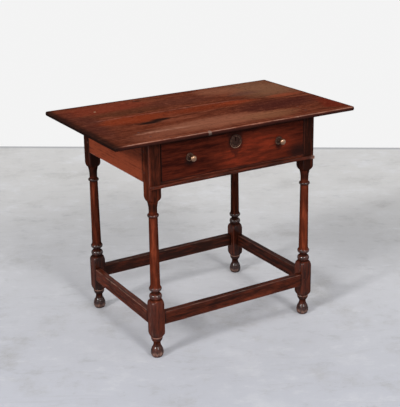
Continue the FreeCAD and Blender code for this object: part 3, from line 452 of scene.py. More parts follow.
def top_marks(paint, body):
    """The top's own marks: dark stains and knots, pale streaks and the chipped edge."""
    x, y, _ = paint.parts(paint.place())
    ragged = paint.noise(paint.place(), (70, 260, 260), 3.0) - 0.5
    y = y + ragged * 0.012
    dark = sum(paint.spot(x, y, centre, size) * part for centre, size, part in TOP_STAINS)
    nick = paint.spot(x, y, (NICK_AT, -0.2540), (0.0065, 0.0085))
    streaks = [(shade, paint.within(y, *rise) * paint.within(x, *run)
                * paint.between(ragged, *edge) * part)
               for rise, run, edge, shade, part in TOP_STREAKS]
    return paint.layers(
        body,
        ((0.010, 0.005, 0.004), paint.maths("MINIMUM", dark, 0.94)),
        *streaks,
        ((0.190, 0.145, 0.120), paint.maths("MINIMUM", nick * 1.1, 0.60)))


def drawer_skin(low, high):
    """The drawer front's wood coordinates, and the wear, grime and painted shadow of the top that
    its outline gives.
    """
    (left, _, foot), (right, _, head) = low.tolist(), high.tolist()
    middle = (foot + head) / 2

    def skin(paint):
        x, y, z = paint.parts(paint.place())
        grain = paint.node("ShaderNodeCombineXYZ", inputs={
            0: x + 1.7, 1: z - (middle - 0.012), 2: y * 0.4 + 0.118})
        side = paint.maths("MINIMUM", x - left, right - x)
        rise = paint.maths("MINIMUM", z - foot, head - z)
        wear = 1 - paint.between(rise, 0.0004, 0.0032)
        # painted shadow of the top's overhang darkens the front's upper edge
        shade = paint.between(z, head - 0.020, head - 0.001)
        low_dirt = 1 - paint.between(z, foot, foot + 0.006)
        gap = 1 - paint.between(side, 0.0005, 0.0060)
        grime_and_shade = paint.largest(shade * 0.92, low_dirt * 0.45, gap * 0.8)
        glow = paint.spot(x, z, (0.075, middle - 0.015), (0.20, 0.075))
        grey = 1 - paint.between(x, -0.24, -0.04)
        return grain, wear * 0.20, grime_and_shade, glow * 0.50 - grey * 0.08 - 0.32
    return skin


def drawer_marks(plate, knobs):
    """Dark ghost of an older shield-shaped plate under the round one, and darker patches below the
    knobs and low at the right.

    The plate and the knobs are given by their centres.
    """
    def marks(paint, body):
        x, _, z = paint.parts(paint.place())
        ragged = paint.noise(paint.place(), (90, 90, 90), 4.0, 0.6) - 0.5
        side = paint.maths("ABSOLUTE", x - plate[0]) + ragged * 0.010
        below = plate[2] - z + ragged * 0.012
        width = 0.026 * (1 - paint.between(below, 0.012, 0.056))
        shield = 1 - paint.between(side - width, -0.006, 0.006)
        shield = shield * paint.within(below, -0.034, -0.024, 0.046, 0.060)
        dark_patches = [((0.236, 0.588), (0.060, 0.034), 0.03, 0.85)]
        dark_patches += [((knob[0], knob[2] - 0.011), (0.024, 0.022), 0.02, 0.80) for knob in knobs]
        spots = [((0.014, 0.006, 0.005),
                  paint.spot(x + ragged * drift, z + ragged * 0.02, centre, size) * part)
                 for centre, size, drift, part in dark_patches]
        return paint.layers(body, ((0.016, 0.006, 0.005), shield * 0.62), *spots)
    return marks


def bare_wood(name, wood, turn):
    """Unfinished wood inside the drawer, with its grain turned along the piece."""
    paint = Paint(name)
    place = paint.parts(paint.place())
    along, across, through = (place[axis] for axis in AXES[turn])
    grain = paint.node("ShaderNodeCombineXYZ", inputs={
        0: along, 1: across + 0.11, 2: through + 0.07})
    figure, fibre, pore, patch = wood_figure(paint, grain, 0.5, 6.0 * MM)
    body = paint.mix((0.150, 0.075, 0.030), wood.pine, figure)
    body = paint.mix(body, (0.090, 0.050, 0.028), paint.between(patch, 0.45, 0.8) * 0.35)
    return paint.finish(Base_Color=body, Roughness=0.72 + (fibre - 0.5) * 0.2,
                        Normal=paint.bump(fibre - pore * 0.4, 0.3 * MM), Specular_IOR_Level=0.3)


def peg_wood(name, wood, pale=None):
    """End grain of the pegs, nearly as dark as the wood round them; one may be left pale."""
    paint = Paint(name)
    place = paint.place()
    x, y, _ = paint.parts(place)
    speck = paint.noise(place, (900, 900, 900), 3.0)
    cloud = paint.noise(place, (60, 60, 60), 2.0)
    body = paint.mix(wood.deep, wood.body, speck * 0.7 + cloud * 0.4)
    if pale:
        near = paint.spot(x, y, pale, (0.02, 0.02))
        body = paint.mix(body, (0.330, 0.200, 0.110), paint.between(near, 0.1, 0.3))
    return paint.finish(Base_Color=body, Roughness=0.6 + (speck - 0.5) * 0.2,
                        Normal=paint.bump(speck, 0.2 * MM), Specular_IOR_Level=0.05)


def brass(name, settings, bright):
    """Old brass: bright where it is rubbed and dull brown or green where it is sheltered."""
    paint = Paint(name)
    place = paint.place()
    cloud = paint.noise(place, (170, 170, 170), 4.0, 0.6)
    fine = paint.noise(place, (900, 900, 900), 2.0)
    wear = paint.attribute("wear")
    rubbed = paint.between(cloud * 0.5 + wear * 0.55 + bright, 0.30, 0.95)
    body = paint.mix(settings.tarnished, settings.polished, rubbed)
    bloom = paint.between(1 - cloud - rubbed * 0.5, 0.40, 0.75)
    body = paint.mix(body, settings.verdigris, bloom * 0.55)
    return paint.finish(Base_Color=body, Metallic=0.50 + rubbed * 0.35,
                        Roughness=0.50 - rubbed * 0.20 + (fine - 0.5) * 0.15,
                        Normal=paint.bump(fine + cloud * 2, 0.15 * MM), Specular_IOR_Level=0.05,
                        Coat_Weight=rubbed * 0.95, Coat_Roughness=0.09)


def wrought_iron(name):
    """Dark wrought iron with a brown bloom of rust."""
    paint = Paint(name)
    place = paint.place()
    cloud = paint.noise(place, (220, 220, 220), 4.0, 0.65)
    rust = paint.between(cloud, 0.5, 0.75)
    body = paint.mix((0.035, 0.031, 0.029), (0.085, 0.034, 0.016), rust)
    return paint.finish(Base_Color=body, Metallic=0.75 - cloud * 0.3, Roughness=0.45 + cloud * 0.3,
                        Normal=paint.bump(cloud, 0.2 * MM))


# ---------------------------------------------------------------- surfaces
def fade(values, start, end):
    """0 at the start and before it, 1 at the end and past it, and straight between them."""
    return np.clip((values - start) / (end - start), 0, 1)


def bell(values, centre, width, power=2):
    """1 at a centre that falls off as exp(-(distance / width)^power)."""
    return np.exp(-((values - centre) / width) ** power)


def ripple(points, seed, size):
    """Gentle bumps from -1 to 1: the mean of ten sine waves that run in random directions.

    Each wave is sin(2 pi times the point's distance along its direction over the size, plus a
    random start), so there is about one bump per size.
    """
    chance = np.random.default_rng(seed)
    waves = 10
    directions = chance.normal(size=(points.shape[-1], waves)) / size
    starts = chance.uniform(0, 2 * math.pi, waves)
    total = np.sin(points @ directions * 2 * math.pi / 1.7 + starts).sum(axis=-1)
    return np.clip(total / (waves * 0.6), -1, 1)


def sway(along, seed, size):
    """The ripple on a straight line, given by places along it."""
    return ripple(np.stack([along, 0 * along, 0 * along], axis=-1), seed, size)


def spread(count):
    """Places from 0 to 1, both left out, that crowd towards the ends: (1 - cos(pi t)) / 2."""
    return (1 - np.cos(math.pi * np.arange(1, count + 1) / (count + 1))) / 2


CORNER_POINTS = 5


def rounded_sections(low_a, high_a, low_b, high_b, rounds, steps):
    """Rings of points, one row each, round rectangles with rounded corners.

    Every corner is an arc: the corner's centre plus its radius times (cos, sin) of an angle that
    turns a quarter.  A straight side is filled with points between two arcs.  The corners come
    in the order (high a, low b), (high a, high b), (low a, high b), (low a, low b), and steps
    are the points along a side that runs in a, then along one that runs in b.
    """
    arcs = []
    for number, (side_a, side_b) in enumerate(((1, -1), (1, 1), (-1, 1), (-1, -1))):
        radius = rounds[number][:, None]
        centre_a = (high_a if side_a > 0 else low_a)[:, None] - side_a * radius
        centre_b = (high_b if side_b > 0 else low_b)[:, None] - side_b * radius
        angle = math.pi / 2 * (number - 1 + np.linspace(0, 1, CORNER_POINTS))
        arcs.append(np.stack([centre_a + radius * np.cos(angle), centre_b + radius * np.sin(angle)],
                             axis=-1))
    ring = []
    for number in range(4):
        start, end = arcs[number][:, -1:], arcs[(number + 1) % 4][:, :1]
        places = spread(steps[1] if number % 2 == 0 else steps[0])[None, :, None]
        ring += [arcs[number], start + (end - start) * places]
    return np.concatenate(ring, axis=1)


def lay(axis, along, rings):
    """Turn (rows, points, 2) rings and their places along an axis into points in space."""
    straight = np.broadcast_to(along[:, None, None], rings.shape[:2] + (1,))
    stacked = np.concatenate([straight, rings], axis=-1)
    points = np.empty_like(stacked)
    for source, target in enumerate(AXES[axis]):
        points[..., target] = stacked[..., source]
    return points


def closed_shell(name, points, fields):
    """A mesh through a (rows, columns) grid of points whose rows are rings, closed at both ends.

    Neighbouring rings are joined with quads, and each end ring is closed with a fan of
    triangles about its mean point.  Fields hold values or vectors that spread over the grid.
    """
    rows, columns, _ = points.shape
    index = np.arange(rows * columns).reshape(rows, columns)
    beside = np.roll(index, -1, axis=1)
    quads = np.stack([index[:-1], beside[:-1], beside[1:], index[1:]], axis=-1).reshape(-1)
    low, high = rows * columns, rows * columns + 1
    fans = np.concatenate([
        np.stack([beside[0], index[0], np.full(columns, low)], axis=-1),
        np.stack([index[-1], beside[-1], np.full(columns, high)], axis=-1),
    ]).reshape(-1)
    mesh = bpy.data.meshes.new(name)
    mesh.vertices.add(rows * columns + 2)
    mesh.vertices.foreach_set("co", with_ends(points).astype(np.float32).reshape(-1))
    mesh.loops.add(len(quads) + len(fans))
    mesh.loops.foreach_set("vertex_index", np.concatenate([quads, fans]))
    sizes = np.concatenate([np.full(len(quads) // 4, 4), np.full(len(fans) // 3, 3)])
    mesh.polygons.add(len(sizes))
    mesh.polygons.foreach_set("loop_start", np.cumsum(sizes) - sizes)
    mesh.polygons.foreach_set("use_smooth", np.ones(len(sizes), dtype=bool))
    mesh.update(calc_edges=True)
    carry(mesh, points.shape, fields, with_ends)
    return mesh


def ring_shell(name, points, fields):
    """A mesh through a (rows, columns) grid of points that closes on itself both ways."""
    rows, columns, _ = points.shape
    index = np.arange(rows * columns).reshape(rows, columns)
    beside, above = np.roll(index, -1, axis=1), np.roll(index, -1, axis=0)
    faces = np.stack([index, above, np.roll(above, -1, axis=1), beside], axis=-1).reshape(-1, 4)
    mesh = bpy.data.meshes.new(name)
    mesh.from_pydata(points.reshape(-1, 3), [], faces)
    mesh.polygons.foreach_set("use_smooth", np.ones(len(faces), dtype=bool))
    carry(mesh, points.shape, fields, np.array)
    return mesh


def with_ends(grid):
    """A grid's values in one list, with the means of its first and last rows added at the end."""
    flat = grid.reshape(-1, *grid.shape[2:])
    return np.concatenate([flat, [grid[0].mean(axis=0), grid[-1].mean(axis=0)]])


def carry(mesh, shape, fields, in_order):
    """Store fields on a mesh's points: each spreads over the grid and is then put in order."""
    for key, values in fields.items():
        values = np.asarray(values)
        vector = values.ndim == 3
        layer = mesh.attributes.new(key, "FLOAT_VECTOR" if vector else "FLOAT", "POINT")
        spread_out = in_order(np.broadcast_to(values, shape if vector else shape[:2]))
        layer.data.foreach_set("vector" if vector else "value",
                               spread_out.astype(np.float32).reshape(-1))


def dress(mesh, body, slot, material, *nodes):
    """Put a mesh on show as a piece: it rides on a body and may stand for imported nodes."""
    piece = bpy.data.objects.new(mesh.name, mesh)
    bpy.context.collection.objects.link(piece)
    piece.data.materials.append(material)
    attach(piece, body)
    if nodes:
        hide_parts(*nodes)


def paint_nodes(material, *names):
    """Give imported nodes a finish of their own."""
    for name in names:
        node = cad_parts[name]
        node.data.materials.clear()
        node.data.materials.append(material)


def grain_field(axis, points, seed, heart=0.05):
    """The wood's own coordinates (along, across, through), shifted so that no two boards match."""
    chance = np.random.default_rng(seed)
    shift = np.array([chance.uniform(0, 5), chance.uniform(-0.03, 0.03),
                      heart * chance.uniform(0.8, 1.4)])
    return points[..., list(AXES[axis])] + shift - points.mean(axis=(0, 1))[list(AXES[axis])]


def edge_distance(points, low, high, axis):
    """How far each point of a board's skin lies from the nearest of its four long arrises.

    On the skin one of the two distances to the sides is nearly nothing, so it is the larger one.
    """
    _, first, second = AXES[axis]
    to_first = np.minimum(points[..., first] - low[first], high[first] - points[..., first])
    to_second = np.minimum(points[..., second] - low[second], high[second] - points[..., second])
    return np.maximum(to_first, to_second)


def rows_between(start, end, spacing):
    """Evenly spaced places from one to the other, ends included."""
    return np.linspace(start, end, max(2, int(math.ceil((end - start) / spacing)) + 1))


# how a member has aged and is shaded: its tone, which on the back and right stretchers is also
# painted shade, how much its arrises' wear counts, the least wear all over it, the share of old wax
# all over it, how much darker it grows towards its ends, and whether painted shade of the top
# darkens its upper edge
Age = namedtuple("Age", "tone rub scuff veil dirty_ends under_top",
                 defaults=(1.0, 0.0, 0.0, 0.0, False))
AGES_AND_SHADES = {
    "apron_left": Age(0.65, dirty_ends=0.70),
    "apron_right": Age(0.42, dirty_ends=0.85, under_top=True),
    "apron_back": Age(0.40, dirty_ends=0.85, under_top=True),
    "stretcher_front": Age(-0.30, 1.7, veil=0.40, dirty_ends=0.85),
    "stretcher_left": Age(-0.14, 1.7, 0.62, 0.30, 0.85),
    # the back and right stretchers' dark tones are partly painted shade under the table
    "stretcher_back": Age(-0.62, 1.7, 0.30, 0.42, 0.85),
    "stretcher_right": Age(-0.44, 1.7, 0.40, 0.42, 0.85),
    "drawer_rail": Age(-0.30, 0.30, dirty_ends=0.60),
    "rail_bead": Age(-0.25, 0.55),
}
LOOSE_LENGTH = 100 * MM
# how far wear reaches from an arris, darkening from an end, and painted shade from the top
ARRIS_REACH, END_REACH, TOP_SHADE_REACH = 2.5 * MM, 9 * MM, 7 * MM


def shouldered_box(node, axis):
    """A member's box without its tenons: it ends at the faces of the legs."""
    low, high = node_box(node)
    run = AXES[axis][0]
    low[run], high[run] = FRONT_LEFT_LEG[1][run], BACK_RIGHT_LEG[0][run]
    return low, high


def member(node, axis, box, material, rounds, wander, seed, steps, droop=0.0):
    """A planed board with worn arrises: rounded sections laid along an axis.

    The arris radius grows and shrinks along the board by a third, and the faces dip inwards by
    up to the wander.  Wear falls off as exp(-distance to the arris / its reach).  A droop lowers
    the loose length at the end by the square of the way along it, and paints it pale as a
    highlight where it catches the light.
    """
    age_and_shade = AGES_AND_SHADES[node]
    low, high = box
    run, first, second = AXES[axis]
    along = rows_between(low[run], high[run], 5.0 * MM)
    radii = [radius * (1 + sway(along, seed + number, 0.09) * 0.33)
             for number, radius in enumerate(rounds)]
    ends = [np.full(len(along), limit[side]) for side in (first, second) for limit in (low, high)]
    points = lay(axis, along, rounded_sections(*ends, radii, steps))
    edge = edge_distance(points, low, high, axis)
    offset = points - (low + high) / 2
    on_face = np.abs(offset) > (high - low) / 2 - 1.5 * MM
    on_face[..., run] = False
    dip = wander * (0.5 + 0.5 * ripple(points, seed + 9, 0.11))
    points = points - np.sign(offset) * on_face * dip[..., None]
    loose = fade(points[..., run], high[run] - LOOSE_LENGTH, high[run])
    points[..., 2] -= droop * loose ** 2
    wear = np.maximum(age_and_shade.rub * np.exp(-edge / ARRIS_REACH), age_and_shade.scuff)
    # painted highlight: the bead's loose end is made pale where it catches the light
    if droop:
        wear = np.maximum(wear, loose ** 3)
    from_end = np.minimum(points[..., run] - low[run], high[run] - points[..., run])
    grime_and_shade = np.maximum(age_and_shade.veil, age_and_shade.dirty_ends * np.exp(-from_end / END_REACH))
    # painted shadow of the top along the upper edge of the right and back aprons
    if age_and_shade.under_top:
        grime_and_shade = np.maximum(grime_and_shade, 0.9 * np.exp(-(high[2] - points[..., 2]) / TOP_SHADE_REACH))
    fields = {
        "grain": grain_field(axis, points, seed),
        "wear": wear * (1 - grime_and_shade),
        "grime_and_shade": grime_and_shade,
        "tone": age_and_shade.tone,
    }
    dress(closed_shell(f"{node}_planed", points, fields), "frame", "frame_wood", material, node)


# ---------------------------------------------------------------- the leg's outline
LEG_FOOT = [
    (15.0, 0.0, "line"), (20.3, 14.0, "upright end"), (14.5, 34.0, "upright start"),
    (11.5, 45.0, "upright end"), (11.5, 50.0, "line"), (18.6, 66.5, "upright end"),
    (18.6, 70.0, "line"), (17.5, 70.0, "line"), (27.6, 84.0, "upright end"),
]
LEG_REST = [
    (27.6, 176.0, "line"), (15.5, 194.0, "upright start"), (20.0, 204.0, "upright end"),
    (12.2, 214.0, "upright start"), (12.2, 220.0, "line"), (20.0, 229.5, "upright end"),
    (20.0, 231.5, "line"), (15.6, 243.0, "upright end"), (13.8, 461.0, "line"),
    (18.0, 466.0, "upright end"), (13.0, 471.0, "upright start"), (13.0, 481.0, "line"),
    (17.5, 512.5, "upright start"), (27.6, 528.0, "upright end"), (27.6, 696.0, "line"),
]


# heights between which a leg's look changes, and the middles and half lengths of its parts
UPPER_BLOCK, LOWER_BLOCK = (500 * MM, 520 * MM), (200 * MM, 180 * MM)
TOP_RING, BALL = (440 * MM, 450 * MM), (46 * MM, 0)
FOOT, FILLET = (11 * MM, 13 * MM), (67.5 * MM, 2.6 * MM)
NECK, SHAFT = (492 * MM, 17 * MM), (352 * MM, 122 * MM)


def leg_outline():
    """The leg's turned outline as (radius, height) points, closely spaced on the curves.

    A curved stretch is an arc of a circle whose centre is level with the end at which the leg's
    side is upright; its radius is (across squared + rise squared) / (2 across).
    """
    stations = [(radius * MM, height * MM, curve) for radius, height, curve in LEG_FOOT + LEG_REST]
    stretches = [np.array([stations[0][:2]])]
    for (radius_a, height_a, _), (radius_b, height_b, curve) in zip(stations, stations[1:]):
        size = math.hypot(radius_b - radius_a, height_b - height_a)
        spacing = (3.4 if curve == "line" and size > 30 * MM else 1.1) * MM
        share_along = np.linspace(0, 1, max(3, int(size / spacing) + 2))[1:]
        if curve == "line":
            radii = radius_a + (radius_b - radius_a) * share_along
            heights = height_a + (height_b - height_a) * share_along
        else:
            upright = (radius_b, height_b) if curve == "upright end" else (radius_a, height_a)
            other = (radius_a, height_a) if curve == "upright end" else (radius_b, height_b)
            across, rise = other[0] - upright[0], other[1] - upright[1]
            reach = (across * across + rise * rise) / (2 * across)
            turn = math.atan2(rise, (reach - across) * (1 if reach > 0 else -1))
            angle = turn * ((1 - share_along) if curve == "upright end" else share_along)
            radii = upright[0] + reach * (1 - np.cos(angle))
            heights = upright[1] + abs(reach) * np.sin(angle)
        stretches.append(np.stack([radii, heights], axis=-1))
    return np.concatenate(stretches)


def leg_mesh(name, node, settings, tone, head_tone, rub, seed):
    """A leg turned from square stock.

    At each height the skin's distance from the leg's axis is the soft least of the turning's
    radius R and the square's edge S = h / max(|cos t|, |sin t|): (R^-p + S^-p)^(-1/p).  The
    directions t crowd towards the arrises: each quarter turns by 1 + sign(q) |q|^1.5.
    """
    low, high = node_box(node)
    centre = (low + high) / 2
    outline = leg_outline()
    radius, height = outline[:, :1], outline[:, 1:]
    quarter = np.linspace(-1, 1, 29)[:-1]
    turn = math.pi / 4 * (1 + np.sign(quarter) * np.abs(quarter) ** 1.5)
    turn = (turn + (math.pi / 2) * np.arange(4)[:, None] - math.pi / 2).reshape(-1)
    half = LEG_WIDTH / 2
    square = half / np.maximum(np.abs(np.cos(turn)), np.abs(np.sin(turn)))
    power = settings.arris_blend
    skin = ((radius / half) ** -power + (square / half) ** -power) ** (-1 / power) * half
    tall = np.broadcast_to(height, skin.shape)
    cut = np.stack([skin * np.cos(turn), skin * np.sin(turn), tall], axis=-1)
    soft = settings.wander * (0.5 + 0.5 * ripple(cut * (1, 1, 0.35), seed, 0.035))
    marks = settings.tool_mark * (0.5 + 0.5 * np.sin(height / (1.1 * MM)))
    skin = skin - soft - marks * fade(square - radius, 0, 1.5 * MM)
    across, through = skin * np.cos(turn), skin * np.sin(turn)
    points = np.stack([centre[0] + across, centre[1] + through, tall], axis=-1)
    chance = np.random.default_rng(seed)
    shift = [chance.uniform(0, 5), chance.uniform(0.02, 0.05), chance.uniform(0.02, 0.05)]
    fields = leg_age_and_light(outline, turn, square, tone, head_tone, rub)
    fields["grain"] = np.stack([tall, across, through], axis=-1) + np.array(shift)
    return closed_shell(name, points, fields)


def leg_age_and_light(outline, turn, square, tone, head_tone, rub):
    """How a leg has aged, and where light and shade are painted on it, as fields over its heights
    and directions.

    Proud parts of the outline are rubbed and shine, and hollow parts keep their dirt: proud is
    the radius less its mean over some 7 mm of the outline.  Rub is how far the square's arrises
    are worn, and the one towards -X and -Y is worn most.  The tone shifts the whole leg, and the
    head's tone its upper block.  Painted light and shade go into the tone too: the shafts are
    lighter on the side towards azimuth -121 degrees and darker round from it, and the blocks'
    faces towards -Y are darker.
    """
    radius, height = outline[:, :1], outline[:, 1:]
    travel = np.concatenate([[0], np.cumsum(np.hypot(*np.diff(outline, axis=0).T))])
    weight = bell(travel[:, None], travel, 7 * MM) * np.gradient(travel)
    proud = (radius - (weight @ radius) / weight.sum(axis=1)[:, None]) / (2.2 * MM)
    block = fade(radius, square.min(), square.min() + 6 * MM)
    upper, lower = fade(height, *UPPER_BLOCK), fade(height, *LOWER_BLOCK)
    foot, fillet = bell(height, *FOOT), bell(height, *FILLET)
    neck, shaft = bell(height, *NECK, 4), bell(height, *SHAFT, 8)
    ball = fade(height, *BALL) ** 0.5
    ringed = np.clip(proud, 0, 1) * (1 - upper) * (1 - 0.7 * block)

    outer = np.clip(np.cos(turn + 3 * math.pi / 4), 0, 1) ** 6
    arris = np.exp(-(square.max() - square) / (1.1 * MM)) * block * rub
    arris = arris * (0.16 + 0.84 * outer) * (1 - 0.55 * lower)
    scuffed = lower * block * (0.30 + 0.16 * np.clip(-np.cos(turn), 0, 1))
    wear = np.maximum(np.maximum(arris, scuffed), ringed ** 2 * 0.22)
    wear = np.maximum(wear, np.maximum(foot * 0.66, fillet * 0.85))

    dirt = 0.40 * upper + 0.30 * lower * (1 - foot) + 0.62 * neck * (1 - upper)
    grime_and_shade = np.maximum(np.clip(-proud, 0, 1) * 0.9, dirt) * (1 - 0.9 * fillet)
    duller = 0.26 * fade(height, *TOP_RING)

    # painted shade: the blocks' faces towards -Y are darker
    shaded_front = np.clip(-np.sin(turn), 0, 1) ** 2 * block
    # painted light and shade: the shafts are lighter towards azimuth -121 degrees and darker round
    # from it
    lit_side = np.clip(np.cos(turn + math.radians(121)), 0, 1) ** 3
    rubbed = (0.42 * lit_side * shaft - 0.30) * (1 - block) - 0.60 * ringed - 0.16 * ball
    head = (head_tone - 0.10) * upper - (0.36 + 0.10 * upper) * shaded_front
    return {
        "wear": wear,
        "grime_and_shade": grime_and_shade,
        "shine": np.maximum(ringed * (0.48 - duller), ball * 0.18),
        "tone": tone + rubbed + head - 0.04 * lower,
    }


# ---------------------------------------------------------------- the top's boards
def pocket_lines(low, high):
    """Grid lines that hold a pocket's upright side between two of them at each edge."""
    return [low - 0.60 * MM, low - 0.03 * MM, low, high, high + 0.03 * MM, high + 0.60 * MM]


def with_pocket_columns(along, rings, count, pocket):
    """Rings of which the last count columns, the lower side, get more lines along a pocket's edges.

    A line keeps its share of the way across the board, and near the pocket it runs straight.
    """
    low, high = pocket
    start, end, under = rings[:, -count - 1], rings[:, 0], rings[:, -count:]
    lines = pocket_lines(low[1], high[1])
    share_at = (np.array(lines) - start[:, 0].mean()) / (end - start)[:, 0].mean()
    share_at = np.concatenate([spread(count), share_at])
    order = np.argsort(share_at)
    across = start[:, :1] + (end - start)[:, :1] * share_at[order]
    near = (along > low[0] - 2 * MM) & (along < high[0] + 2 * MM)
    across[np.ix_(near, order >= count)] = lines
    rise = np.broadcast_to(under[:, :1, 1], across.shape)
    return np.concatenate([rings[:, :-count], np.stack([across, rise], axis=-1)], axis=1)


def top_board(name, node, settings, outer, seed, pocket=None):
    """One board of the top: rounded sections laid along x, shrunk at both ends.

    At a distance s from an end the section is thinner by r - sqrt(r^2 - (r - s)^2) above and
    below, and narrower by the same formula with the corner radius on the board's outer side.
    Outer is -1 where the front side is an outer edge of the top, 1 where the back is, and 0
    where neither is.  A pocket, given by its lowest and highest corners, is sunk in the
    underside.
    """
    low, high = node_box(node)
    radius = settings.edge_round
    bend = radius * (1 - np.cos(np.linspace(0, math.pi / 2, 7)))[:-1]
    inner = rows_between(low[0] + radius, high[0] - radius, 3.2 * MM)
    along = np.concatenate([low[0] + bend, inner, (high[0] - bend)[::-1]])
    if pocket:
        along = np.sort(np.concatenate([along, pocket_lines(pocket[0][0], pocket[1][0])]))
    from_end = np.minimum(along - low[0], high[0] - along)

    def shrink(size):
        reach = np.clip(size - from_end, 0, size)
        return size - np.sqrt(size * size - reach * reach)

    thinner, narrower = shrink(radius), shrink(settings.corner_round)
    front = low[1] + narrower * (outer < 0)
    back = high[1] - narrower * (outer > 0)
    room = (high[2] - low[2]) / 2 - thinner
    rounds = [radius if outer == side else settings.seam_round for side in (1, 1, -1, -1)]
    radii = [np.minimum(size * (1 + sway(along, seed + number, 0.12) * 0.12), room * 0.98)
             for number, size in enumerate(rounds)]
    steps = (max(12, int((high[1] - low[1]) / (3.4 * MM))), 4)
    rings = rounded_sections(front, back, low[2] + thinner, high[2] - thinner, radii, steps)
    if pocket:
        rings = with_pocket_columns(along, rings, steps[0], pocket)
    points = lay("x", along, rings)
    if pocket:
        inside = (points[..., :2] >= pocket[0][:2]) & (points[..., :2] <= pocket[1][:2])
        sunk = np.all(inside, axis=-1) & (points[..., 2] < low[2] + MM)
        points[..., 2] = np.where(sunk, pocket[1][2], points[..., 2])
    upper = fade(points[..., 2], (low[2] + high[2]) / 2, (low[2] + high[2]) / 2 + 4 * MM)
    wear_board(points, low[1], settings, outer, upper, seed)
    return closed_shell(name, points, board_age(points, low, high, outer, upper, seed))


def wear_board(points, front, settings, outer, upper, seed):
    """Hollow a board's upper face between high spots, open its split and chip its front edge."""
    x, y = points[..., 0].copy(), points[..., 1].copy()
    dip = settings.hollow * (0.5 + 0.5 * ripple(points * (0.35, 1, 0), seed + 5, 0.075))
    for centre, size in TOP_SPLITS:
        dip = dip + (settings.split_depth * bell(x, centre[0], size[0], 4)
                     * bell(y, centre[1], size[1]))
    points[..., 2] -= dip * upper
    if outer < 0:
        nick = bell(x, NICK_AT, 5.5 * MM, 4) * fade(y, front + 6 * MM, front)
        chip = bell(x, CHIP_AT, 4.0 * MM) * fade(y, front + 5 * MM, front)
        points[..., 1] += settings.nick_depth * (nick + 0.5 * chip) * upper
        points[..., 2] -= settings.nick_depth * 0.5 * nick * upper


def board_age(points, low, high, outer, upper, seed):
    """Wear along a board's outer rim, and darkening in its seams, on its lower side and at the
    top's ends.
    """
    x, y = points[..., 0], points[..., 1]
    from_front, from_back = y - low[1], high[1] - y
    ends = np.minimum(x - low[0], high[0] - x)
    edges = {-1: [from_front], 0: [], 1: [from_back]}[outer]
    seams = {-1: [from_back], 0: [from_front, from_back], 1: [from_front]}[outer]
    rim, seam = np.minimum.reduce([ends, *edges]), np.minimum.reduce(seams)
    wear = bell(rim, 1.9 * MM, 1.5 * MM) * upper
    wear = wear * np.where((outer < 0) & (from_front < ends), 1.0, 0.35)
    grime_and_shade = np.maximum.reduce([
        0.90 * np.exp(-seam / (1.0 * MM)),
        0.50 * (1 - upper),
        0.80 * bell(x, low[0], 24 * MM),
        0.55 * np.exp(-(high[0] - x) / (6 * MM)),
        0.60 * np.exp(-from_back / (9 * MM)) * (outer > 0),
    ])
    return {
        "grain": grain_field("x", points, seed, 0.09),
        "wear": wear * (1 - grime_and_shade),
        "grime_and_shade": grime_and_shade,
        "tone": 0.0,
    }


# ---------------------------------------------------------------- turned brass
def turned_mesh(name, centre, outline, columns, bright, seed):
    """A brass turning along -Y: the outline's (radius, height) points carried round its axis.

    A point is the centre plus radius times (cos t, sin t) across and height towards -Y.  Its
    wide parts are dented by up to 0.12 mm, and bright says how far each point is rubbed.
    """
    outline = np.array(outline) * MM
    turn = np.linspace(0, 2 * math.pi, columns, endpoint=False)
    radius = outline[:, :1]
    points = np.stack([
        centre[0] + radius * np.cos(turn),
        np.broadcast_to(centre[1] - outline[:, 1:], (len(outline), columns)),
        centre[2] + radius * np.sin(turn),
    ], axis=-1)
    dents = np.abs(0.12 * MM * ripple(points, seed, 0.007))[..., None]
    radial = np.stack([np.cos(turn), np.zeros(columns), np.sin(turn)], axis=-1)
    points = points - dents * radial * (radius[..., None] > 6.5 * MM)
    return closed_shell(name, points, {"wear": np.array(bright)[:, None]})


def knob_outline(seat, end):
    """A knob's (radius, height) points in mm, from its post to its button, and how each is rubbed.

    The seat is where it stands on its rose, and the end its far face.
    """
    head = end - 16.0
    points = (
        (2.5, 0.0, 0.0), (2.5, seat, 0.0), (6.0, seat, 0.1), (6.0, seat + 1.2, 0.1),
        (5.4, seat + 1.6, 0.0), (4.2, seat + 4.0, 0.0), (3.6, seat + 7.0, 0.0),
        (3.5, head - 1.0, 0.0), (3.9, head, 0.0), (6.2, head + 1.2, 0.2), (8.2, head + 3.2, 0.5),
        (9.4, head + 5.6, 0.8), (9.95, head + 8.3, 1.0), (9.6, head + 10.6, 1.0),
        (8.6, head + 12.8, 1.0), (7.0, head + 14.4, 1.0), (4.6, head + 15.5, 1.0),
        (2.2, end, 1.0), (0.6, end, 1.0),
    )
    return [point[:2] for point in points], [point[2] for point in points]


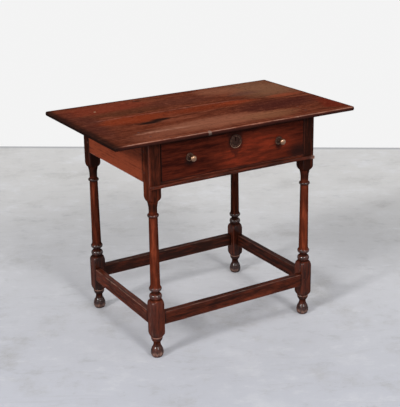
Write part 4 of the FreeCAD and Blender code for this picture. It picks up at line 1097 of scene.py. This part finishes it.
def petal_mesh(name, centre, inner, outer, petals, height):
    """Raised petals and a beaded rim cast on the face of a round plate.

    Inner and outer are (radius, face) pairs, and the face runs straight between them.  A closed
    ring: its section goes from the inner edge over the relief to the outer edge and back behind
    the plate's face.  The relief's height is a bead at the rim, plus petals whose height is
    |cos(n t / 2)| times a hump across their length.
    """
    turn = np.linspace(0, 2 * math.pi, 160, endpoint=False)
    share_out = np.linspace(0, 1, 26)
    radius, face = (start + (end - start) * share_out for start, end in zip(inner, outer))
    hump = np.clip(np.sin(math.pi * np.clip(share_out / 0.72, 0, 1)), 0, 1)
    bead = np.sqrt(np.clip(1 - ((share_out - 0.87) / 0.13) ** 2, 0, 1))
    petal = np.abs(np.cos(petals / 2 * turn + 0.35))[None] ** 0.7
    rise = 0.78 * hump[:, None] * petal + bead[:, None]
    skin = face[:, None] - 0.02 * MM - rise * height
    rows = np.concatenate([radius, [outer[0], inner[0]]])
    behind = np.full(len(turn), 0.4 * MM)
    depth = np.concatenate([skin, [behind + outer[1], behind + inner[1]]])
    points = np.stack([centre[0] + rows[:, None] * np.cos(turn), depth,
                       centre[2] + rows[:, None] * np.sin(turn)], axis=-1)
    # the rim's wear grows towards the plate's lower edge: real rubbing plus a painted highlight of
    # the lit lower rim
    side = 0.5 + 0.5 * np.cos(turn + math.pi / 2)
    wear = rise ** 1.5 * (0.75 * hump[:, None] + (0.20 + 1.10 * side ** 2)[None] * bead[:, None])
    return ring_shell(name, points, {"wear": np.concatenate([wear, np.zeros((2, len(turn)))])})


# ---------------------------------------------------------------- operators
# each lamp's azimuth, elevation and width in degrees, its light's setting and its share of it
LAMPS = {
    "lamp_left": (-166, 30, 9, "left_lamp", 0.60),
    "lamp_left_wide": (-158, 33, 42, "left_lamp", 0.40),
    "lamp_front_low": (-90, 24, 10, "front_lamp", 0.30),
    "lamp_front": (-90, 35, 11, "front_lamp", 0.48),
    "lamp_front_high": (-88, 47, 14, "front_lamp", 0.22),
    "lamp_corner": (-108, 34, 24, "corner_lamp", 1.00),
    "lamp_right": (-28, 38, 60, "right_lamp", 1.00),
    "lamp_back": (85, 46, 75, "back_lamp", 1.00),
}


class TABLE_OT_stage(bpy.types.Operator):
    """Lay the pale floor, light it softly and set the camera"""
    bl_idname = "tavern_table.stage"
    bl_label = "Stage"

    def execute(self, context):
        stage = context.scene.tavern_stage
        self.lay_floor(stage)
        self.light(context, stage)
        self.set_camera(context, stage)
        context.scene.view_settings.view_transform = "Standard"
        return {"FINISHED"}

    def lay_floor(self, stage):
        """A flat sheet that runs from behind the camera to its far edge, which slants a little."""
        view = np.array([-math.sin(stage.azimuth), math.cos(stage.azimuth), 0])
        side = np.array([view[1], -view[0], 0])
        reach = 7.0
        corners = [view * far + side * across for far, across in (
            (-reach, -reach), (-reach, reach), (stage.far_edge - stage.far_slant * reach, reach),
            (stage.far_edge + stage.far_slant * reach, -reach))]
        mesh = bpy.data.meshes.new("floor")
        mesh.from_pydata(corners, [], [(0, 1, 2, 3)])
        floor = bpy.data.objects.new("floor", mesh)
        bpy.context.collection.objects.link(floor)
        floor.data.materials.append(self.floor_paint(stage, view, side))

    def floor_paint(self, stage, view, side):
        """Trowelled concrete with faint clouds, specks, thin scratches and a painted shadow along
        the far edge.
        """
        paint = Paint("floor_concrete")
        place = paint.place()
        x, y, _ = paint.parts(place)
        along = x * float(view[0]) + y * float(view[1])
        across = x * float(side[0]) + y * float(side[1])
        to_edge = stage.far_edge - along - across * stage.far_slant
        turned = paint.node("ShaderNodeCombineXYZ", inputs={0: across, 1: along})
        cloud = paint.noise(place, (3.4, 3.4, 1), 9.0, 0.70)
        trowel = paint.noise(turned, (9, 16, 1), 6.0, 0.74)
        speck = paint.noise(place, (120, 120, 1), 3.0, 0.6)
        sweep = paint.noise(place, (1.3, 1.3, 1), 1.0) * 0.5
        swept = paint.node("ShaderNodeVectorMath", {"operation": "ADD"}, {0: turned, 1: sweep})
        line = paint.noise(swept, (1.3, 30, 1), 2.0, 0.4)
        scratch = paint.within(line, 0.610, 0.625, 0.625, 0.645)
        base = np.array(stage.floor)
        body = paint.mix(base * (1.02, 1.0, 0.95), base * (0.97, 0.985, 1.045),
                         paint.between(to_edge, 0.3, 3.2))
        body = paint.layers(body, *((np.minimum(base * shade, 1.0), cover) for shade, cover in (
            ((0.72, 0.70, 0.66), paint.between(cloud, 0.50, 0.70) * 0.58),
            (1.22, paint.between(cloud, 0.48, 0.30) * 0.52),
            (0.74, paint.between(trowel, 0.53, 0.72) * 0.60),
            (1.20, paint.between(trowel, 0.47, 0.28) * 0.55),
            (0.50, paint.between(speck * 0.6 + cloud * 0.4, 0.57, 0.72) * 0.45),
            (0.80, scratch * 0.25),
            # painted shadow along the floor's far edge
            (0.66, 1 - paint.between(to_edge, 0.012, 0.050)))))
        return paint.finish(Base_Color=body, Roughness=0.70 + (cloud - 0.5) * 0.2,
                            Normal=paint.bump(speck + trowel, 0.15 * MM), Specular_IOR_Level=0.2)

    def light(self, context, stage):
        """A white surround that only lights faintly, and large soft lamps all round."""
        paint = Paint("studio", "worlds")
        white = (1.0, 1.0, 1.0, 1.0)
        shown, lit = (
            paint.node("ShaderNodeBackground", inputs={"Color": white, "Strength": level})
            for level in (stage.backdrop, stage.sky))
        path = paint.node("ShaderNodeLightPath").socket.node.outputs
        clear = paint.largest(*(Wire(paint, path[ray]) for ray in (
            "Is Camera Ray", "Is Transmission Ray", "Is Glossy Ray")))
        seen = paint.node("ShaderNodeMixShader", inputs={0: clear, 1: lit, 2: shown})
        paint.node("ShaderNodeOutputWorld", inputs={"Surface": seen})
        context.scene.world = paint.owner
        for name, (azimuth, elevation, softness, setting, part) in LAMPS.items():
            self.lamp(context, name, math.radians(azimuth), math.radians(elevation),
                      math.radians(softness), getattr(stage, setting) * part)

    def lamp(self, context, name, azimuth, elevation, softness, power):
        """A wide even light from a direction, whose azimuth turns from +X."""
        lamp = bpy.data.lights.new(name, "SUN")
        lamp.angle = softness
        lamp.energy = power
        lamp.color = (1.0, 0.99, 0.975)
        holder = bpy.data.objects.new(name, lamp)
        context.collection.objects.link(holder)
        level = math.cos(elevation)
        source = Vector((math.cos(azimuth) * level, math.sin(azimuth) * level, math.sin(elevation)))
        holder.matrix_world = source.to_track_quat("Z", "Y").to_matrix().to_4x4()

    def set_camera(self, context, stage):
        """Stand the camera back from its aim along the view, then tilt it by the roll."""
        sin_a, cos_a = math.sin(stage.azimuth), math.cos(stage.azimuth)
        sin_e, cos_e = math.sin(stage.elevation), math.cos(stage.elevation)
        back = Vector((sin_a * cos_e, -cos_a * cos_e, sin_e))
        right = Vector((cos_a, sin_a, 0))
        up = back.cross(right)
        aim = Vector((*FRAME_MIDDLE[:2], (CAD_BOX[0][2] + CAD_BOX[1][2]) / 2))
        place = aim + right * stage.aim_right + up * stage.aim_up + back * stage.distance
        tilt_x = right * math.cos(stage.roll) - up * math.sin(stage.roll)
        tilt_y = right * math.sin(stage.roll) + up * math.cos(stage.roll)
        data = bpy.data.cameras.new("camera")
        data.sensor_fit = "HORIZONTAL"
        data.sensor_width = 36.0
        data.lens = stage.lens
        data.shift_y = stage.lens_shift
        camera = bpy.data.objects.new("camera", data)
        context.collection.objects.link(camera)
        turn = Matrix((tilt_x, tilt_y, back)).transposed().to_4x4()
        camera.matrix_world = Matrix.Translation(place) @ turn
        context.scene.camera = camera


class TABLE_OT_top(bpy.types.Operator):
    """Lay the three worn boards of the top"""
    bl_idname = "tavern_table.top"
    bl_label = "Board top"

    def execute(self, context):
        material = polished_wood("top_wood", context.scene.tavern_wood, "top_", gloss=0.50,
                                 contrast=1.30, polish=0.008, buffed=0.05,
                                 tint=top_tint(node_box("top_board_back")[1]), marks=top_marks)
        # the lock bolt's head rises into a pocket; its shoulders stay below the top
        bolt_low, bolt_high = node_box("lock_bolt")
        shoulder, room, throw = 3.0 * MM, 1.5 * MM, 6.0 * MM
        inset = np.array((shoulder - room, -room, 0))
        pocket = (bolt_low + inset, bolt_high - inset + (0, 0, throw + room))
        for place, outer, seed, sunk in (
                ("front", -1, 11, pocket), ("middle", 0, 22, None), ("back", 1, 33, None)):
            node = f"top_board_{place}"
            mesh = top_board(f"{node}_worn", node, context.scene.tavern_top, outer, seed, sunk)
            dress(mesh, "frame", "top_wood", material, node)
        return {"FINISHED"}


class TABLE_OT_legs(bpy.types.Operator):
    """Turn the four legs"""
    bl_idname = "tavern_table.legs"
    bl_label = "Turned legs"

    def execute(self, context):
        settings = context.scene.tavern_legs
        material = polished_wood("leg_wood", context.scene.tavern_wood, gloss=0.13, rings=0.10,
                                 spacing=7 * MM, contrast=0.80, polish=0.012, buffed=0.20,
                                 relief=0.03 * MM)
        # the back legs' darker tones are painted shade, as they stand under the table
        for place, tone, head_tone, rub, seed in (
                ("front_left", 0.04, 0.10, 0.62, 41), ("front_right", 0.00, -0.26, 0.30, 42),
                ("back_left", -0.24, -0.16, 0.50, 43), ("back_right", -0.34, 0.00, 0.30, 44)):
            node = f"leg_{place}"
            mesh = leg_mesh(f"{node}_turned", node, settings, tone, head_tone, rub, seed)
            dress(mesh, "frame", "leg_wood", material, node)
        return {"FINISHED"}


class TABLE_OT_frame_members(bpy.types.Operator):
    """Plane the aprons, the stretchers, the drawer rail and its bead"""
    bl_idname = "tavern_table.frame_members"
    bl_label = "Aprons, stretchers and rail"

    def execute(self, context):
        settings = context.scene.tavern_frame
        material = polished_wood("frame_wood", context.scene.tavern_wood, gloss=0.32, polish=0.032)
        small, large = settings.arris_round, settings.stretcher_round
        # the corners run (high a, low b) onwards, and the stretchers' upper arrises are worn most
        apron = [small] * 4
        stretcher = {"x": [small, large, large, small], "y": [large, large, small, small]}
        for node, axis, rounds, seed in (
                ("apron_left", "y", apron, 65), ("stretcher_left", "y", stretcher["y"], 69),
                ("apron_right", "y", apron, 75), ("stretcher_right", "y", stretcher["y"], 79),
                ("apron_back", "x", apron, 85), ("stretcher_back", "x", stretcher["x"], 89),
                ("stretcher_front", "x", stretcher["x"], 99)):
            member(node, axis, shouldered_box(node, axis), material, rounds, settings.wander,
                   seed, (22, 22))
        member("drawer_rail", "x", shouldered_box("drawer_rail", "x"), material, [small / 2] * 4,
               settings.wander / 2, 91, (14, 14))
        member("rail_bead", "x", node_box("rail_bead"), material,
               [0.3 * MM, 0.3 * MM, 2.9 * MM, 2.9 * MM], 0.1 * MM, 95, (6, 8), settings.droop)
        return {"FINISHED"}


class TABLE_OT_drawer_front(bpy.types.Operator):
    """Finish the drawer front"""
    bl_idname = "tavern_table.drawer_front"
    bl_label = "Drawer front"

    def execute(self, context):
        knobs = [node_centre(f"knob_{side}") for side in ("left", "right")]
        material = polished_wood("front_wood", context.scene.tavern_wood, "front_", gloss=0.34,
                                 rings=0.05, spacing=9 * MM, contrast=0.75, polish=0.010,
                                 skin=drawer_skin(*node_box("drawer_front")),
                                 marks=drawer_marks(node_centre("escutcheon"), knobs))
        paint_nodes(material, "drawer_front")
        return {"FINISHED"}


class TABLE_OT_drawer_box(bpy.types.Operator):
    """Finish the bare wood inside: the drawer's box, its runners and its guides"""
    bl_idname = "tavern_table.drawer_box"
    bl_label = "Drawer box and runners"

    def execute(self, context):
        wood = context.scene.tavern_wood
        paint_nodes(bare_wood("pine_lengthwise", wood, "x"),
                    "drawer_back", "drawer_bottom_front", "drawer_bottom_back")
        paint_nodes(bare_wood("pine_front_to_back", wood, "y"), *(
            f"drawer_{kind}_{hand}" for kind in ("side", "runner", "guide")
            for hand in ("left", "right")))
        return {"FINISHED"}


class TABLE_OT_knobs(bpy.types.Operator):
    """Turn the two brass knobs and their roses"""
    bl_idname = "tavern_table.knobs"
    bl_label = "Knobs and roses"

    def execute(self, context):
        settings = context.scene.tavern_brass
        material = brass("rubbed_brass", settings, 0.10)
        rose_material = brass("rose_brass", settings, 0.06)
        for side, seed in (("left", 70), ("right", 71)):
            low, high = node_box(f"knob_{side}")
            rose_low, rose_high = node_box(f"knob_rose_{side}")
            centre = ((low[0] + high[0]) / 2, high[1], (low[2] + high[2]) / 2)
            outline, bright = knob_outline((high[1] - rose_low[1]) / MM, (high[1] - low[1]) / MM)
            mesh = turned_mesh(f"knob_{side}_turned", centre, outline, 64, bright, seed)
            dress(mesh, "drawer", "brass", material, f"knob_{side}")
            face = float(rose_low[1])
            mesh = petal_mesh(f"knob_rose_{side}_petals", (rose_low + rose_high) / 2,
                              (7.0 * MM, face + 0.23 * MM), (12.8 * MM, face + 1.55 * MM), 10,
                              settings.rose_relief)
            dress(mesh, "drawer", "brass", rose_material)
            paint_nodes(rose_material, f"knob_rose_{side}")
        paint_nodes(brass("dull_brass", settings, 0.0), "knob_nuts")
        return {"FINISHED"}


class TABLE_OT_escutcheon(bpy.types.Operator):
    """Cast the petalled face of the round plate over the keyhole, and finish the plate"""
    bl_idname = "tavern_table.escutcheon"
    bl_label = "Escutcheon"

    def execute(self, context):
        settings = context.scene.tavern_brass
        material = brass("plate_brass", settings, 0.0)
        low, high = node_box("escutcheon")
        reach, face = float(high[0] - low[0]) / 2, float(low[1])
        mesh = petal_mesh("escutcheon_petals", (low + high) / 2, (0.56 * reach, face),
                          (reach - 0.25 * MM, face), 8, settings.plate_relief)
        dress(mesh, "drawer", "brass", material)
        paint_nodes(material, "escutcheon", "escutcheon_pins")
        return {"FINISHED"}


class TABLE_OT_pegs(bpy.types.Operator):
    """Finish the wooden pegs"""
    bl_idname = "tavern_table.pegs"
    bl_label = "Pegs"

    def execute(self, context):
        wood = context.scene.tavern_wood
        paint_nodes(peg_wood("peg_wood", wood), "apron_pegs", "stretcher_pegs")
        paint_nodes(peg_wood("top_peg_wood", wood, (-0.298, 0.157)), "top_pegs")
        return {"FINISHED"}


class TABLE_OT_ironwork(bpy.types.Operator):
    """Finish the nails, the brads and the lock"""
    bl_idname = "tavern_table.ironwork"
    bl_label = "Nails and lock"

    def execute(self, context):
        paint_nodes(wrought_iron("wrought_iron"), "bead_brads", "guide_nails", "drawer_side_nails",
                    "drawer_bottom_nails", "lock_plate", "lock_case", "lock_bolt", "lock_key_pin",
                    "lock_spring", "lock_screws")
        return {"FINISHED"}


class TABLE_PT_panel(bpy.types.Panel):
    """Lists the table's pieces"""
    bl_idname = "TABLE_PT_panel"
    bl_label = "Tavern table"
    bl_space_type = "VIEW_3D"
    bl_region_type = "UI"
    bl_category = "Tavern table"

    def draw(self, context):
        for operator in OPERATORS:
            self.layout.operator(operator.bl_idname)
        for name in SETTINGS:
            group = getattr(context.scene, name)
            box = self.layout.box()
            for key in group.__annotations__:
                box.prop(group, key)


OPERATORS = (
    TABLE_OT_stage, TABLE_OT_top, TABLE_OT_legs, TABLE_OT_frame_members, TABLE_OT_drawer_front,
    TABLE_OT_drawer_box, TABLE_OT_knobs, TABLE_OT_escutcheon, TABLE_OT_pegs, TABLE_OT_ironwork,
)
SETTINGS = {
    "tavern_top": TopSettings,
    "tavern_legs": LegSettings,
    "tavern_frame": FrameSettings,
    "tavern_brass": BrassSettings,
    "tavern_wood": WoodSettings,
    "tavern_stage": StageSettings,
}


def register():
    for name, group in SETTINGS.items():
        bpy.utils.register_class(group)
        setattr(bpy.types.Scene, name, bpy.props.PointerProperty(type=group))
    for kind in (*OPERATORS, TABLE_PT_panel):
        bpy.utils.register_class(kind)


def unregister():
    for kind in (TABLE_PT_panel, *reversed(OPERATORS)):
        bpy.utils.unregister_class(kind)
    for name, group in reversed(SETTINGS.items()):
        delattr(bpy.types.Scene, name)
        bpy.utils.unregister_class(group)


def main():
    """Register the add-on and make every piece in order."""
    register()
    for operator in OPERATORS:
        group, name = operator.bl_idname.split(".")
        getattr(getattr(bpy.ops, group), name)()


if __name__ == "__main__":
    main()
